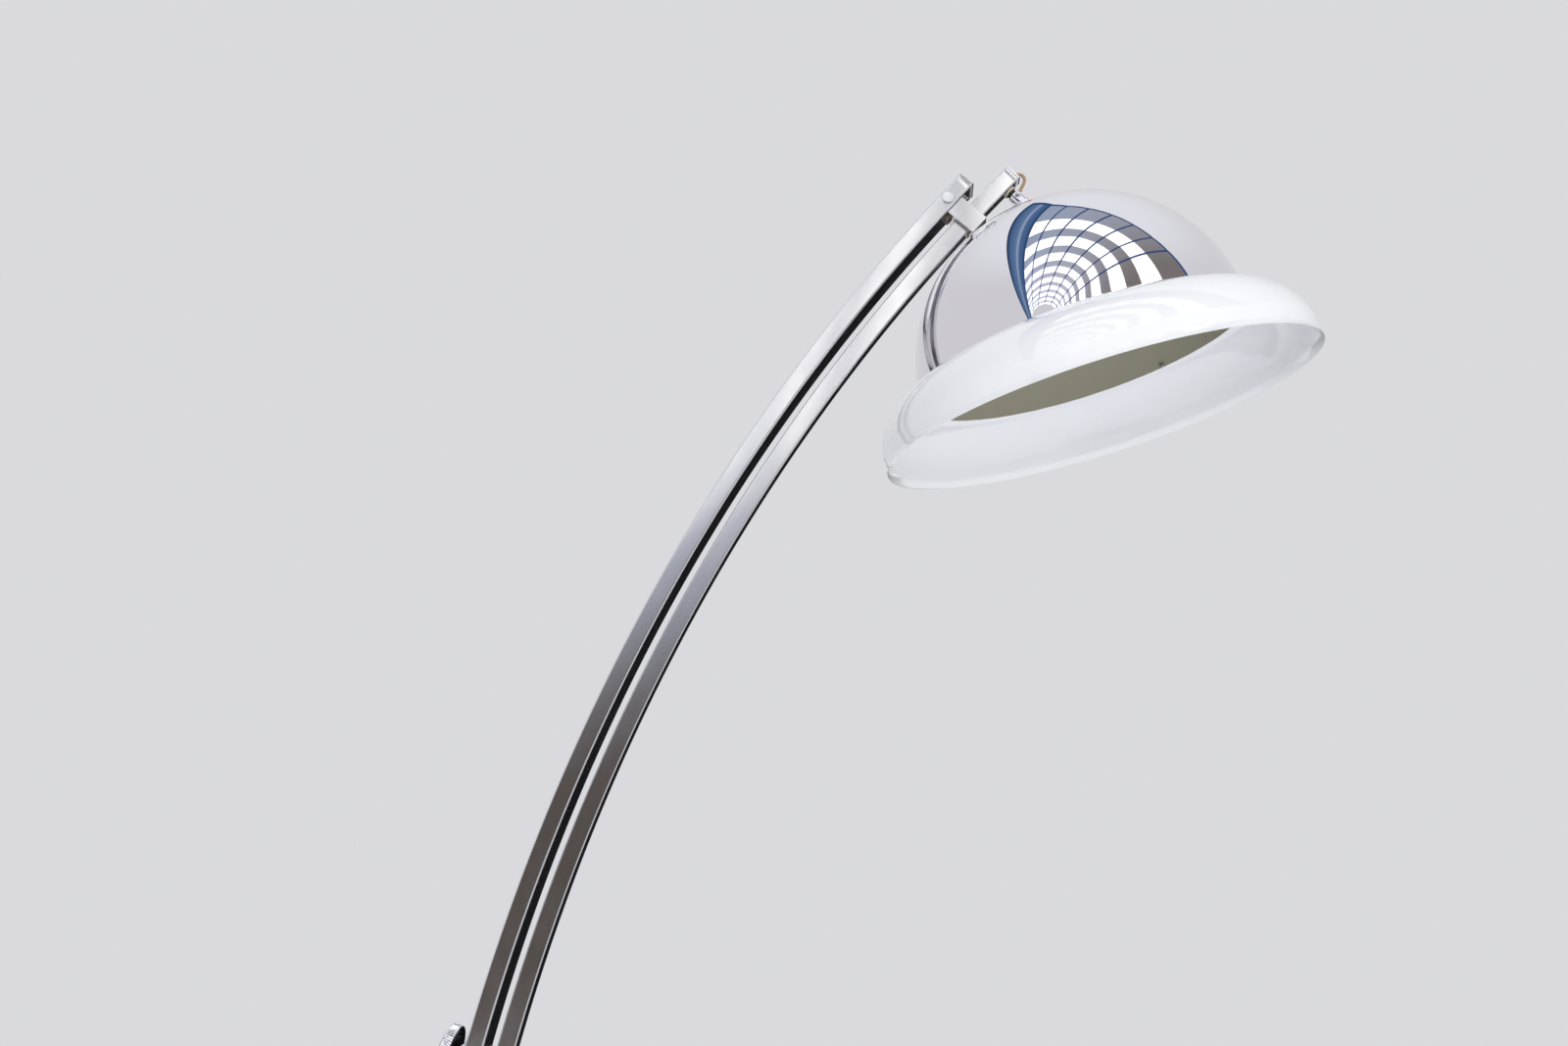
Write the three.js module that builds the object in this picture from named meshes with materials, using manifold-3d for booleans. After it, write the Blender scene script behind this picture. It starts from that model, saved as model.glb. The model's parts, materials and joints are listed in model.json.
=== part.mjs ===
// Telescopic arc floor lamp: a weighted round base, a bent box tube, a second box tube that slides
// along it on the same arc, and a chromed dome shade with an acrylic ring on a ball swivel.
// Millimetres, +Z up, origin at the centre of the base's underside, the lamp reaches towards +X.
import * as THREE from "three";
import { mergeVertices } from "three/addons/utils/BufferGeometryUtils.js";
import Module from "manifold-3d";

// ---------- driving dimensions ----------
const GAP = 0.3; // left between faces that touch on the real lamp

const BASE_RADIUS = 200;
const BASE_HEIGHT = 46;
const PAD_THICKNESS = 4;
const COVER_WALL = 1.5;
const COVER_EDGE_RADIUS = 8;
const CORD_RADIUS = 3.5; // of the mains cord that the gland takes
const GLAND_RADIUS = 7;
const GLAND_LENGTH = 16;
const GLAND_COLLAR = 4;
const GLAND_COLLAR_RADIUS = 10;
const GLAND_HEIGHT = 22;

const MAST_X = -120; // the mast stands behind the base's centre, so the weight lies under the reach
const FOOT_PLATE_SIZE = 90;
const FOOT_PLATE_THICKNESS = 6;
const FOOT_SCREW_RADIUS = 3;
const FOOT_SCREW_LENGTH = 22;
const FOOT_SCREW_INSET = 12;
const SOCKET_HEIGHT = 60;
const SOCKET_WALL = 4;
const LOCK_SCREW_BELOW_TOP = 18;

const ARC_RADIUS = 2233; // to the middle of the main tube
const ARC_CENTRE_HEIGHT = 380; // the tubes are straight below this height
const MAIN_DEPTH = 20; // in the plane of the arc
const MAIN_WIDTH = 40;
const SLIDE_DEPTH = 20;
const SLIDE_WIDTH = 20;
const TUBE_WALL = 1.5;
const TUBE_GAP = 12; // between the two tubes
const MAIN_END_DEG = 44.1; // arc angles are counted up from where the mast stands upright
const SLIDE_END_DEG = 45.26;
const SLIDE_START_DEG = 14.35;
const CAP_PLATE = 2.5;
const CAP_PLUG = 8;

const SLIDE_CLEARANCE = 0.5; // between a tube and the liner that it slides through
const LINER_WALL = 1.2;
const SLEEVE_WALL = 5;
const SLEEVE_LENGTH = 24.6;
const UPPER_SLEEVE_BELOW_END = 30.8; // from the main tube's end to the middle of its sleeve
const LOWER_SLEEVE_ABOVE_FOOT = 13.6; // from the sliding tube's foot to the middle of its sleeve
const SPACER_WIDTH = 16;
const SPACER_OVERHANG = 5; // how far the upper spacer reaches past its sleeve's lower end
const SPACER_SCREW_RADIUS = 2.5;
const SPACER_SCREW_LENGTH = 6;
const SPACER_SCREW_HEAD = 3;
const SCREW_ABOVE_SLEEVE = 6;

const CROSS_BOLT_RADIUS = 3;
const BUTTON_RADIUS = 7;
const BUTTON_RISE = 3;
const SPINDLE_RADIUS = 4;
const KNOB_RADIUS = 29;
const KNOB_THICKNESS = 13;
const KNOB_BAND = 2.5;
const KNOB_STAND_OFF = 6; // from the lower sleeve to the knob

const SWIVEL_FROM_END = 16.06; // from the sliding tube's end to its stud
const SWIVEL_DROP = 42; // from that underside to the ball's centre
const STUD_RADIUS = 3;
const NUT_RADIUS = 6;
const NUT_HEIGHT = 5;
const WASHER_RADIUS = 8;
const WASHER_THICKNESS = 3;
const CUP_TOP = 8; // below the tube's underside
const CUP_TOP_RADIUS = 9;
const CUP_MOUTH_RADIUS = 11;
const CUP_WALL = 1.2;
const CUP_ABOVE_BALL = 14; // from the cup's mouth to the ball's centre
const CUP_SCREW_RADIUS = 2;
const CUP_SCREW_BELOW_RIM = 5;
const NECK_RADIUS = 5.5;
const NECK_TOP = 20; // below the tube's underside
const BALL_RADIUS = 13;
const BALL_CLEARANCE = 0.5;
const LEAD_RADIUS = 2;

const SHADE_TILT_DEG = 14.66;
const DOME_RADIUS = 190;
const DOME_WALL = 1.2;
const BALL_BELOW_APEX = 6;
const SEAT_RADIUS = 26;
const SEAT_THICKNESS = 8;
const SEAT_SCREW_RADIUS = 2;
const BRIDGE_BELOW_BALL = 6.88; // from the ball's underside to the plate that carries the lampholder
const BRIDGE_WIDTH = 16;
const BRIDGE_WALL = 2;

const RING_LIP_RADIUS = 250;
const RING_REST = 0.5; // between the screws and the ring that sits on them
const RING_SHOULDER = 65; // radius of the ring's rounded shoulder
const RING_WAIST = 14; // height of the nearly upright wall between lip and shoulder
const RING_LIP_FLARE = 2; // how far the lip stands out past the wall
const RING_WALL = 4;
const CLIP_COUNT = 3;
const CLIP_FIRST_DEG = 50;
const CLIP_SCREW_RADIUS = 2;
const CLIP_SCREW_LENGTH = 7;
const CLIP_SCREW_OUT = 4; // how far a screw stands out of the dome
const CLIP_ABOVE_RIM = 2.5;

const NIPPLE_RADIUS = 5;
const HOLDER_RADIUS = 20;
const HOLDER_LENGTH = 50;
const HOLDER_WALL = 2;
const BULB_CAP_RADIUS = 13;
const BULB_CAP_LENGTH = 26;
const BULB_RADIUS = 30;
const BULB_LENGTH = 84; // of the glass below its metal cap

// ---------- finishes ----------
const finish = (color, roughness, metalness) =>
  new THREE.MeshStandardMaterial({ color, roughness, metalness });
const BRUSHED_STEEL = finish(0xb9b8bb, 0.35, 1);
const CHROME = finish(0xe2e3e8, 0.06, 1);
const CAST_IRON = finish(0x35363a, 0.7, 0.6);
const ZINC = finish(0xa3a5a6, 0.4, 1);
const BRASS = finish(0xb08a4a, 0.35, 1);
const FELT = finish(0x2b2b2c, 0.95, 0);
const NYLON = finish(0xd9cfb8, 0.5, 0);
const BLACK_PLASTIC = finish(0x161617, 0.4, 0);
const LEAD_COVER = finish(0x8a5a34, 0.35, 0);
const ACRYLIC = finish(0xf2f4fb, 0.15, 0);
const PORCELAIN = finish(0xe9e6dc, 0.25, 0);
const OPAL_GLASS = finish(0xf7f5ee, 0.2, 0);

// ---------- solids ----------
const wasm = await Module();
wasm.setup();

function toSolid(geometry) {
  const bare = geometry.index ? geometry.toNonIndexed() : geometry.clone();
  bare.deleteAttribute("normal");
  bare.deleteAttribute("uv");
  const merged = mergeVertices(bare, 1e-4);
  const vertProperties = merged.attributes.position.array;
  const triVerts = new Uint32Array(merged.index.array);
  return new wasm.Manifold(new wasm.Mesh({ numProp: 3, vertProperties, triVerts }));
}

function toGeometry(solid) {
  const { numProp, numVert, vertProperties, triVerts } = solid.getMesh();
  const position = new Float32Array(numVert * 3);
  for (let i = 0; i < numVert; i++) {
    position.set(vertProperties.subarray(i * numProp, i * numProp + 3), i * 3);
  }
  const geometry = new THREE.BufferGeometry();
  geometry.setAttribute("position", new THREE.BufferAttribute(position, 3));
  geometry.setIndex(new THREE.BufferAttribute(triVerts, 1));
  return geometry;
}

const cut = (body, ...tools) =>
  toGeometry(tools.reduce((left, tool) => left.subtract(toSolid(tool)), toSolid(body)));
const join = (...parts) =>
  toGeometry(parts.map(toSolid).reduce((whole, part) => whole.add(part)));

const radians = THREE.MathUtils.degToRad;
const box = (x, y, z) => new THREE.BoxGeometry(x, y, z);
const alongY = (radius, length, sides = 24) =>
  new THREE.CylinderGeometry(radius, radius, length, sides);
const alongX = (radius, length, sides) => alongY(radius, length, sides).rotateZ(Math.PI / 2);
const alongZ = (radius, length, sides) => alongY(radius, length, sides).rotateX(Math.PI / 2);
const hexKey = (radius, depth) => alongZ(radius, 2 * depth, 6); // centred on its mouth

// A piece turned about +Z; its outline is [radius, height] pairs, up the outside and down the inside.
function turned(outline, sides = 48) {
  const points = outline.map(([radius, height]) => new THREE.Vector2(radius, height));
  return new THREE.LatheGeometry(points, sides).rotateX(Math.PI / 2);
}

// The same, turned about +X with its heights running along +X.
const turnedAlongX = (outline, sides) => turned(outline, sides).rotateY(Math.PI / 2);

const closed = (outline) => [...outline, outline[0]];

// Points of an arc in an outline, from one angle to another about a centre.
function bow([centreRadius, centreHeight], radius, fromDeg, toDeg, steps) {
  return Array.from({ length: steps + 1 }, (_, i) => {
    const angle = radians(fromDeg + ((toDeg - fromDeg) * i) / steps);
    return [centreRadius + radius * Math.cos(angle), centreHeight + radius * Math.sin(angle)];
  });
}

function ring(outer, inner, bottom, top) {
  return closed([[inner, bottom], [outer, bottom], [outer, top], [inner, top]]);
}

const lamp = new THREE.Group();

function piece(name, geometry, material, parent = lamp) {
  const mesh = new THREE.Mesh(geometry, material);
  mesh.name = name;
  parent.add(mesh);
  return mesh;
}

// ---------- the arc that both tubes follow ----------
const ARC_CENTRE_X = MAST_X + ARC_RADIUS;
const MAIN_OUTER = ARC_RADIUS + MAIN_DEPTH / 2;
const MAIN_INNER = ARC_RADIUS - MAIN_DEPTH / 2;
const SLIDE_OUTER = MAIN_INNER - TUBE_GAP;
const SLIDE_INNER = SLIDE_OUTER - SLIDE_DEPTH;
const SLIDE_RADIUS = (SLIDE_OUTER + SLIDE_INNER) / 2;
const ARC_STEP_DEG = 1.6;

const degreesOf = (length, radius) => THREE.MathUtils.radToDeg(length / radius);
const UPPER_SLEEVE_DEG = MAIN_END_DEG - degreesOf(UPPER_SLEEVE_BELOW_END, ARC_RADIUS);
const LOWER_SLEEVE_DEG = SLIDE_START_DEG + degreesOf(LOWER_SLEEVE_ABOVE_FOOT, ARC_RADIUS);
const SWIVEL_DEG = SLIDE_END_DEG - degreesOf(SWIVEL_FROM_END, SLIDE_INNER);

// A place on the arc: +Z runs up along the tubes and +X points to the arc's centre.
function arcPlace(deg, radius) {
  const angle = radians(deg);
  return new THREE.Matrix4().makeRotationY(angle).setPosition(
    ARC_CENTRE_X - radius * Math.cos(angle), 0, ARC_CENTRE_HEIGHT + radius * Math.sin(angle),
  );
}

function groupAt(matrix, parent = lamp) {
  const group = new THREE.Group();
  group.applyMatrix4(matrix);
  parent.add(group);
  return group;
}

// A bent bar of box section, with an upright straight length below its arc.
function bentBar(outer, inner, fromDeg, toDeg, width, straight = 0) {
  const steps = Math.ceil((toDeg - fromDeg) / ARC_STEP_DEG);
  const bend = (radius, i) => {
    const angle = radians(fromDeg + ((toDeg - fromDeg) * i) / steps);
    return new THREE.Vector2(-radius * Math.cos(angle), radius * Math.sin(angle));
  };
  const along = Array.from({ length: steps + 1 }, (_, i) => i);
  const outline = [
    ...along.map((i) => bend(outer, i)),
    ...along.map((i) => bend(inner, steps - i)),
  ];
  if (straight > 0) {
    outline.push(new THREE.Vector2(-inner, -straight), new THREE.Vector2(-outer, -straight));
  }
  const shape = new THREE.Shape(outline);
  return new THREE.ExtrudeGeometry(shape, { depth: width, bevelEnabled: false })
    .translate(0, 0, -width / 2)
    .rotateX(Math.PI / 2)
    .translate(ARC_CENTRE_X, 0, ARC_CENTRE_HEIGHT);
}

// A plug cap for a tube's end at local height 0, facing +Z.
function tubeCap(depth, width) {
  const slack = 2 * (TUBE_WALL + GAP);
  const overlap = 0.5;
  return join(
    box(depth, width, CAP_PLATE).translate(0, 0, GAP + CAP_PLATE / 2),
    box(depth - slack, width - slack, CAP_PLUG).translate(0, 0, GAP + overlap - CAP_PLUG / 2),
  );
}

function collar(depth, width, length, wall) {
  return cut(box(depth + 2 * wall, width + 2 * wall, length), box(depth, width, 2 * length));
}

// ---------- base ----------
const PLATE_BOTTOM = BASE_HEIGHT + GAP;
const PLATE_TOP = PLATE_BOTTOM + FOOT_PLATE_THICKNESS;
const SOCKET_TOP = PLATE_BOTTOM + SOCKET_HEIGHT;

function footScrewPlaces() {
  const off = FOOT_PLATE_SIZE / 2 - FOOT_SCREW_INSET;
  return [[-off, -off], [off, -off], [off, off], [-off, off]].map(([x, y]) => [MAST_X + x, y]);
}

function footScrewHoles() {
  const reach = FOOT_SCREW_LENGTH + GAP;
  return footScrewPlaces().map(([x, y]) =>
    alongZ(FOOT_SCREW_RADIUS + GAP, 2 * reach, 12).translate(x, y, PLATE_TOP));
}

function makeBase() {
  const skirtInner = BASE_RADIUS - COVER_WALL;
  const underside = BASE_HEIGHT - COVER_WALL;
  const skirtBottom = PAD_THICKNESS + GAP;
  piece("base_pad", turned([
    [0, 0], [BASE_RADIUS, 0], [BASE_RADIUS, PAD_THICKNESS], [0, PAD_THICKNESS],
  ], 48), FELT);

  const cordWay = alongX(GLAND_RADIUS + GAP, 2 * (BASE_RADIUS + MAST_X), 20)
    .translate(-BASE_RADIUS, 0, GLAND_HEIGHT);
  const riser = alongZ(GLAND_RADIUS, BASE_HEIGHT, 20)
    .translate(MAST_X, 0, GLAND_HEIGHT + BASE_HEIGHT / 2);
  const weightRadius = skirtInner - GAP;
  const weightTop = underside - GAP;
  const weight = turned([
    [0, skirtBottom], [weightRadius, skirtBottom], [weightRadius, weightTop - COVER_EDGE_RADIUS],
    [weightRadius - COVER_EDGE_RADIUS, weightTop], [0, weightTop],
  ], 48);
  piece("base_weight", cut(weight, cordWay, riser, ...footScrewHoles()), CAST_IRON);

  const edge = [BASE_RADIUS - COVER_EDGE_RADIUS, BASE_HEIGHT - COVER_EDGE_RADIUS];
  const shell = turned([
    [0, underside],
    ...bow(edge, COVER_EDGE_RADIUS - COVER_WALL, 90, 0, 2),
    [skirtInner, skirtBottom], [BASE_RADIUS, skirtBottom],
    ...bow(edge, COVER_EDGE_RADIUS, 0, 90, 2),
    [0, BASE_HEIGHT],
  ], 48);
  piece("base_cover", cut(shell, cordWay, riser, ...footScrewHoles()), BRUSHED_STEEL);

  const mouth = -BASE_RADIUS - GAP;
  piece("cord_gland", cut(
    join(
      alongX(GLAND_RADIUS, GLAND_LENGTH).translate(mouth + GLAND_LENGTH / 2 - 1, 0, GLAND_HEIGHT),
      alongX(GLAND_COLLAR_RADIUS, GLAND_COLLAR).translate(mouth - GLAND_COLLAR / 2, 0, GLAND_HEIGHT),
    ),
    alongX(CORD_RADIUS + GAP, 4 * GLAND_LENGTH, 16).translate(mouth, 0, GLAND_HEIGHT),
  ), BLACK_PLASTIC);
}

function makeMastSocket() {
  const innerX = MAIN_DEPTH + 2 * GAP;
  const innerY = MAIN_WIDTH + 2 * GAP;
  const lockZ = SOCKET_TOP - LOCK_SCREW_BELOW_TOP;
  const lockHole = alongX(FOOT_SCREW_RADIUS + GAP, 4 * SOCKET_WALL, 12)
    .translate(MAST_X - innerX / 2 - SOCKET_WALL, 0, lockZ);
  const body = join(
    box(FOOT_PLATE_SIZE, FOOT_PLATE_SIZE, FOOT_PLATE_THICKNESS)
      .translate(MAST_X, 0, PLATE_BOTTOM + FOOT_PLATE_THICKNESS / 2),
    box(innerX + 2 * SOCKET_WALL, innerY + 2 * SOCKET_WALL, SOCKET_HEIGHT)
      .translate(MAST_X, 0, PLATE_BOTTOM + SOCKET_HEIGHT / 2),
  );
  const bore = box(innerX, innerY, 2 * SOCKET_HEIGHT).translate(MAST_X, 0, PLATE_TOP + SOCKET_HEIGHT);
  const cordHole = alongZ(GLAND_RADIUS, 4 * FOOT_PLATE_THICKNESS, 20).translate(MAST_X, 0, PLATE_BOTTOM);
  piece("mast_socket", cut(body, bore, cordHole, lockHole, ...footScrewHoles()), BRUSHED_STEEL);

  const headRise = 3.5;
  const headRadius = 2 * FOOT_SCREW_RADIUS;
  const screw = cut(turned([
    [0, -FOOT_SCREW_LENGTH], [FOOT_SCREW_RADIUS, -FOOT_SCREW_LENGTH], [FOOT_SCREW_RADIUS, 0],
    [headRadius, 0], [headRadius, headRise - 1], [headRadius - 1, headRise], [0, headRise],
  ], 12), hexKey(2, 2.4).translate(0, 0, headRise));
  footScrewPlaces().forEach(([x, y], i) => {
    piece(`foot_screw_${i + 1}`, screw, ZINC).position.set(x, y, PLATE_TOP + GAP);
  });

  const lockLength = SOCKET_WALL + 3;
  const lockMiddle = MAST_X - MAIN_DEPTH / 2 - GAP - lockLength / 2;
  piece("mast_lock_screw", cut(
    alongX(FOOT_SCREW_RADIUS, lockLength, 16),
    hexKey(1.5, 3).rotateY(Math.PI / 2).translate(-lockLength / 2, 0, 0),
  ), ZINC).position.set(lockMiddle, 0, lockZ);
}

// ---------- main arm and the sleeve at its top ----------
const SLEEVE_MARGIN = SLIDE_CLEARANCE + LINER_WALL + GAP + SLEEVE_WALL; // from tube face to outside
const SPACER_DEPTH = TUBE_GAP - SLEEVE_MARGIN - 2 * GAP;
const SPACER_SCREW_DEG = UPPER_SLEEVE_DEG + degreesOf(SLEEVE_LENGTH / 2 + SCREW_ABOVE_SLEEVE, MAIN_INNER);

function makeMainArm() {
  const straight = ARC_CENTRE_HEIGHT - PLATE_TOP - GAP;
  const shell = bentBar(MAIN_OUTER, MAIN_INNER, 0, MAIN_END_DEG, MAIN_WIDTH, straight);
  const bore = bentBar(MAIN_OUTER - TUBE_WALL, MAIN_INNER + TUBE_WALL, 0,
    MAIN_END_DEG + ARC_STEP_DEG, MAIN_WIDTH - 2 * TUBE_WALL, straight + SOCKET_HEIGHT);
  const boltHole = alongY(CROSS_BOLT_RADIUS + GAP, 2 * MAIN_WIDTH, 16)
    .applyMatrix4(arcPlace(UPPER_SLEEVE_DEG, ARC_RADIUS));
  const screwHole = alongX(SPACER_SCREW_RADIUS + GAP, 4 * TUBE_WALL, 12)
    .applyMatrix4(arcPlace(SPACER_SCREW_DEG, MAIN_INNER));
  piece("main_arm", cut(shell, bore, boltHole, screwHole), BRUSHED_STEEL);
  piece("main_arm_end_cap", tubeCap(MAIN_DEPTH, MAIN_WIDTH), BRUSHED_STEEL,
    groupAt(arcPlace(MAIN_END_DEG, ARC_RADIUS)));
}

// A square collar on a tube, and the nylon liner inside it.
function makeSleeve(prefix, depth, width, place, { added = [], holes = [] }) {
  const inner = 2 * SLIDE_CLEARANCE;
  const seat = inner + 2 * (LINER_WALL + GAP);
  const body = collar(depth + seat, width + seat, SLEEVE_LENGTH, SLEEVE_WALL);
  piece(`${prefix}_sleeve`, cut(join(body, ...added), ...holes), BRUSHED_STEEL, place);
  piece(`${prefix}_sleeve_liner`,
    collar(depth + inner, width + inner, SLEEVE_LENGTH - 2, LINER_WALL), NYLON, place);
}

function makeUpperSleeve() {
  const place = groupAt(arcPlace(UPPER_SLEEVE_DEG, SLIDE_RADIUS));
  const spacerLength = SLEEVE_LENGTH + SPACER_OVERHANG;
  const spacerInner = -SLIDE_DEPTH / 2 - SLEEVE_MARGIN - GAP;
  const spacerMiddle = [spacerInner - SPACER_DEPTH / 2, 0, -SPACER_OVERHANG / 2];
  const channel = box(SPACER_DEPTH + 4 * GAP, SPACER_WIDTH + 2 * GAP, 2 * spacerLength)
    .translate(spacerInner + GAP - (SPACER_DEPTH + 4 * GAP) / 2, 0, 0);
  const cheeks = box(SPACER_DEPTH + GAP, SLIDE_WIDTH + 2 * SLEEVE_MARGIN, SLEEVE_LENGTH)
    .translate(spacerInner + GAP - (SPACER_DEPTH + GAP) / 2, 0, 0);
  makeSleeve("upper", SLIDE_DEPTH, SLIDE_WIDTH, place, { added: [cheeks], holes: [channel] });
  piece("upper_spacer", box(SPACER_DEPTH, SPACER_WIDTH, spacerLength)
    .translate(...spacerMiddle), NYLON, place);

  const bolt = groupAt(arcPlace(UPPER_SLEEVE_DEG, ARC_RADIUS));
  const boltOverhang = 1;
  piece("cross_bolt", alongY(CROSS_BOLT_RADIUS, MAIN_WIDTH + 2 * boltOverhang), ZINC, bolt);
  const bore = CROSS_BOLT_RADIUS + GAP;
  const floor = boltOverhang + GAP;
  const button = turned([
    [0, floor], [bore, floor], [bore, 0], [BUTTON_RADIUS, 0], [BUTTON_RADIUS, 0.4 * BUTTON_RISE],
    [0.8 * BUTTON_RADIUS, 0.85 * BUTTON_RISE], [0.4 * BUTTON_RADIUS, BUTTON_RISE], [0, BUTTON_RISE],
  ], 16);
  for (const [side, name] of [[-1, "front"], [1, "rear"]]) {
    const cap = piece(`cross_bolt_cap_${name}`, button, CHROME, bolt);
    cap.position.y = side * (MAIN_WIDTH / 2 + GAP);
    cap.rotation.x = (-side * Math.PI) / 2;
  }

  piece("spacer_screw", join(
    alongX(SPACER_SCREW_RADIUS, SPACER_SCREW_LENGTH, 16).translate(2 - SPACER_SCREW_LENGTH / 2, 0, 0),
    alongX(1.5 * SPACER_SCREW_RADIUS, SPACER_SCREW_HEAD, 6)
      .translate(GAP + SPACER_SCREW_HEAD / 2, 0, 0),
  ), ZINC, groupAt(arcPlace(SPACER_SCREW_DEG, MAIN_INNER)));
}

// ---------- sliding arm and the clamp at its foot ----------
function makeSlidingArm() {
  const shell = bentBar(SLIDE_OUTER, SLIDE_INNER, SLIDE_START_DEG, SLIDE_END_DEG, SLIDE_WIDTH);
  const bore = bentBar(SLIDE_OUTER - TUBE_WALL, SLIDE_INNER + TUBE_WALL,
    SLIDE_START_DEG - ARC_STEP_DEG, SLIDE_END_DEG + ARC_STEP_DEG, SLIDE_WIDTH - 2 * TUBE_WALL);
  const studHole = alongX(STUD_RADIUS + GAP, 4 * TUBE_WALL, 16)
    .applyMatrix4(arcPlace(SWIVEL_DEG, SLIDE_INNER));
  piece("sliding_arm", cut(shell, bore, studHole), BRUSHED_STEEL);

  const leadHole = alongZ(LEAD_RADIUS + 3 * GAP, 4 * CAP_PLUG, 12)
    .translate(SLIDE_DEPTH / 2 - LEAD_INSET, 0, 0);
  piece("sliding_arm_end_cap", cut(tubeCap(SLIDE_DEPTH, SLIDE_WIDTH), leadHole), BRUSHED_STEEL,
    groupAt(arcPlace(SLIDE_END_DEG, SLIDE_RADIUS)));
  piece("sliding_arm_foot_cap", tubeCap(SLIDE_DEPTH, SLIDE_WIDTH).rotateX(Math.PI), BLACK_PLASTIC,
    groupAt(arcPlace(SLIDE_START_DEG, SLIDE_RADIUS)));
}

function makeLowerClamp() {
  const place = groupAt(arcPlace(LOWER_SLEEVE_DEG, ARC_RADIUS));
  const inside = MAIN_DEPTH / 2 + SLIDE_CLEARANCE;
  const outside = MAIN_DEPTH / 2 + SLEEVE_MARGIN;
  const spindleHole = alongX(SPINDLE_RADIUS + GAP, 3 * SLEEVE_WALL, 16)
    .translate(-outside, 0, 0);
  makeSleeve("lower", MAIN_DEPTH, MAIN_WIDTH, place, { holes: [spindleHole] });
  piece("lower_spacer", box(SPACER_DEPTH, SLIDE_WIDTH, SLEEVE_LENGTH)
    .translate(outside + GAP + SPACER_DEPTH / 2, 0, 0), BRUSHED_STEEL, place);

  const knobInner = -outside - KNOB_STAND_OFF;
  const spindleEnd = -inside - LINER_WALL - 2 * GAP;
  const spindleLength = spindleEnd - knobInner + KNOB_THICKNESS / 2;
  piece("clamp_spindle", alongX(SPINDLE_RADIUS, spindleLength, 20)
    .translate(spindleEnd - spindleLength / 2, 0, 0), ZINC, place);

  const knob = groupAt(new THREE.Matrix4().makeRotationY(-Math.PI / 2).setPosition(knobInner, 0, 0), place);
  const coreRadius = KNOB_RADIUS - KNOB_BAND - GAP;
  const boreRadius = SPINDLE_RADIUS + GAP;
  const boreDepth = KNOB_THICKNESS / 2 + GAP;
  piece("clamp_knob", turned([
    [0, boreDepth], [boreRadius, boreDepth], [boreRadius, 0], [coreRadius - 1, 0], [coreRadius, 1],
    [coreRadius, KNOB_THICKNESS - 1], [coreRadius - 5, KNOB_THICKNESS + 1.5],
    [coreRadius / 2, KNOB_THICKNESS + 3], [0, KNOB_THICKNESS + 3.5],
  ], 28), BLACK_PLASTIC, knob);
  piece("clamp_knob_band", turned(
    ring(KNOB_RADIUS, KNOB_RADIUS - KNOB_BAND, 1, KNOB_THICKNESS - 1), 28), CHROME, knob);
}

// ---------- ball swivel under the sliding arm's end ----------
const LEAD_INSET = 8; // from the tube's underside to the lead inside it
const swivelPlace = arcPlace(SWIVEL_DEG, SLIDE_INNER); // here +X runs down the stud

// The lead's middle line in the swivel's own frame: [down the stud, along the arm].
const LEAD_ROUTE = [
  [-10.6, -14], [-10.5, -5], [-9.7, 3], [-8.3, 9], [-8, 14], [-7.9, 18], [-7.2, 21.4], [-4.2, 24.4], [0, 25],
  [4, 22.8], [6.6, 18], [8.4, 12.4], [11.6, 7.6], [15.4, 5.6], [19.4, 5.4],
];

function leadTube(radius) {
  const route = new THREE.CatmullRomCurve3(LEAD_ROUTE.map(([x, z]) => new THREE.Vector3(x, 0, z)));
  const sides = 8;
  const section = new THREE.Shape(Array.from({ length: sides }, (_, i) => {
    const angle = (2 * Math.PI * i) / sides;
    return new THREE.Vector2(radius * Math.cos(angle), radius * Math.sin(angle));
  }));
  return new THREE.ExtrudeGeometry(section, { extrudePath: route, steps: 22 });
}

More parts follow.
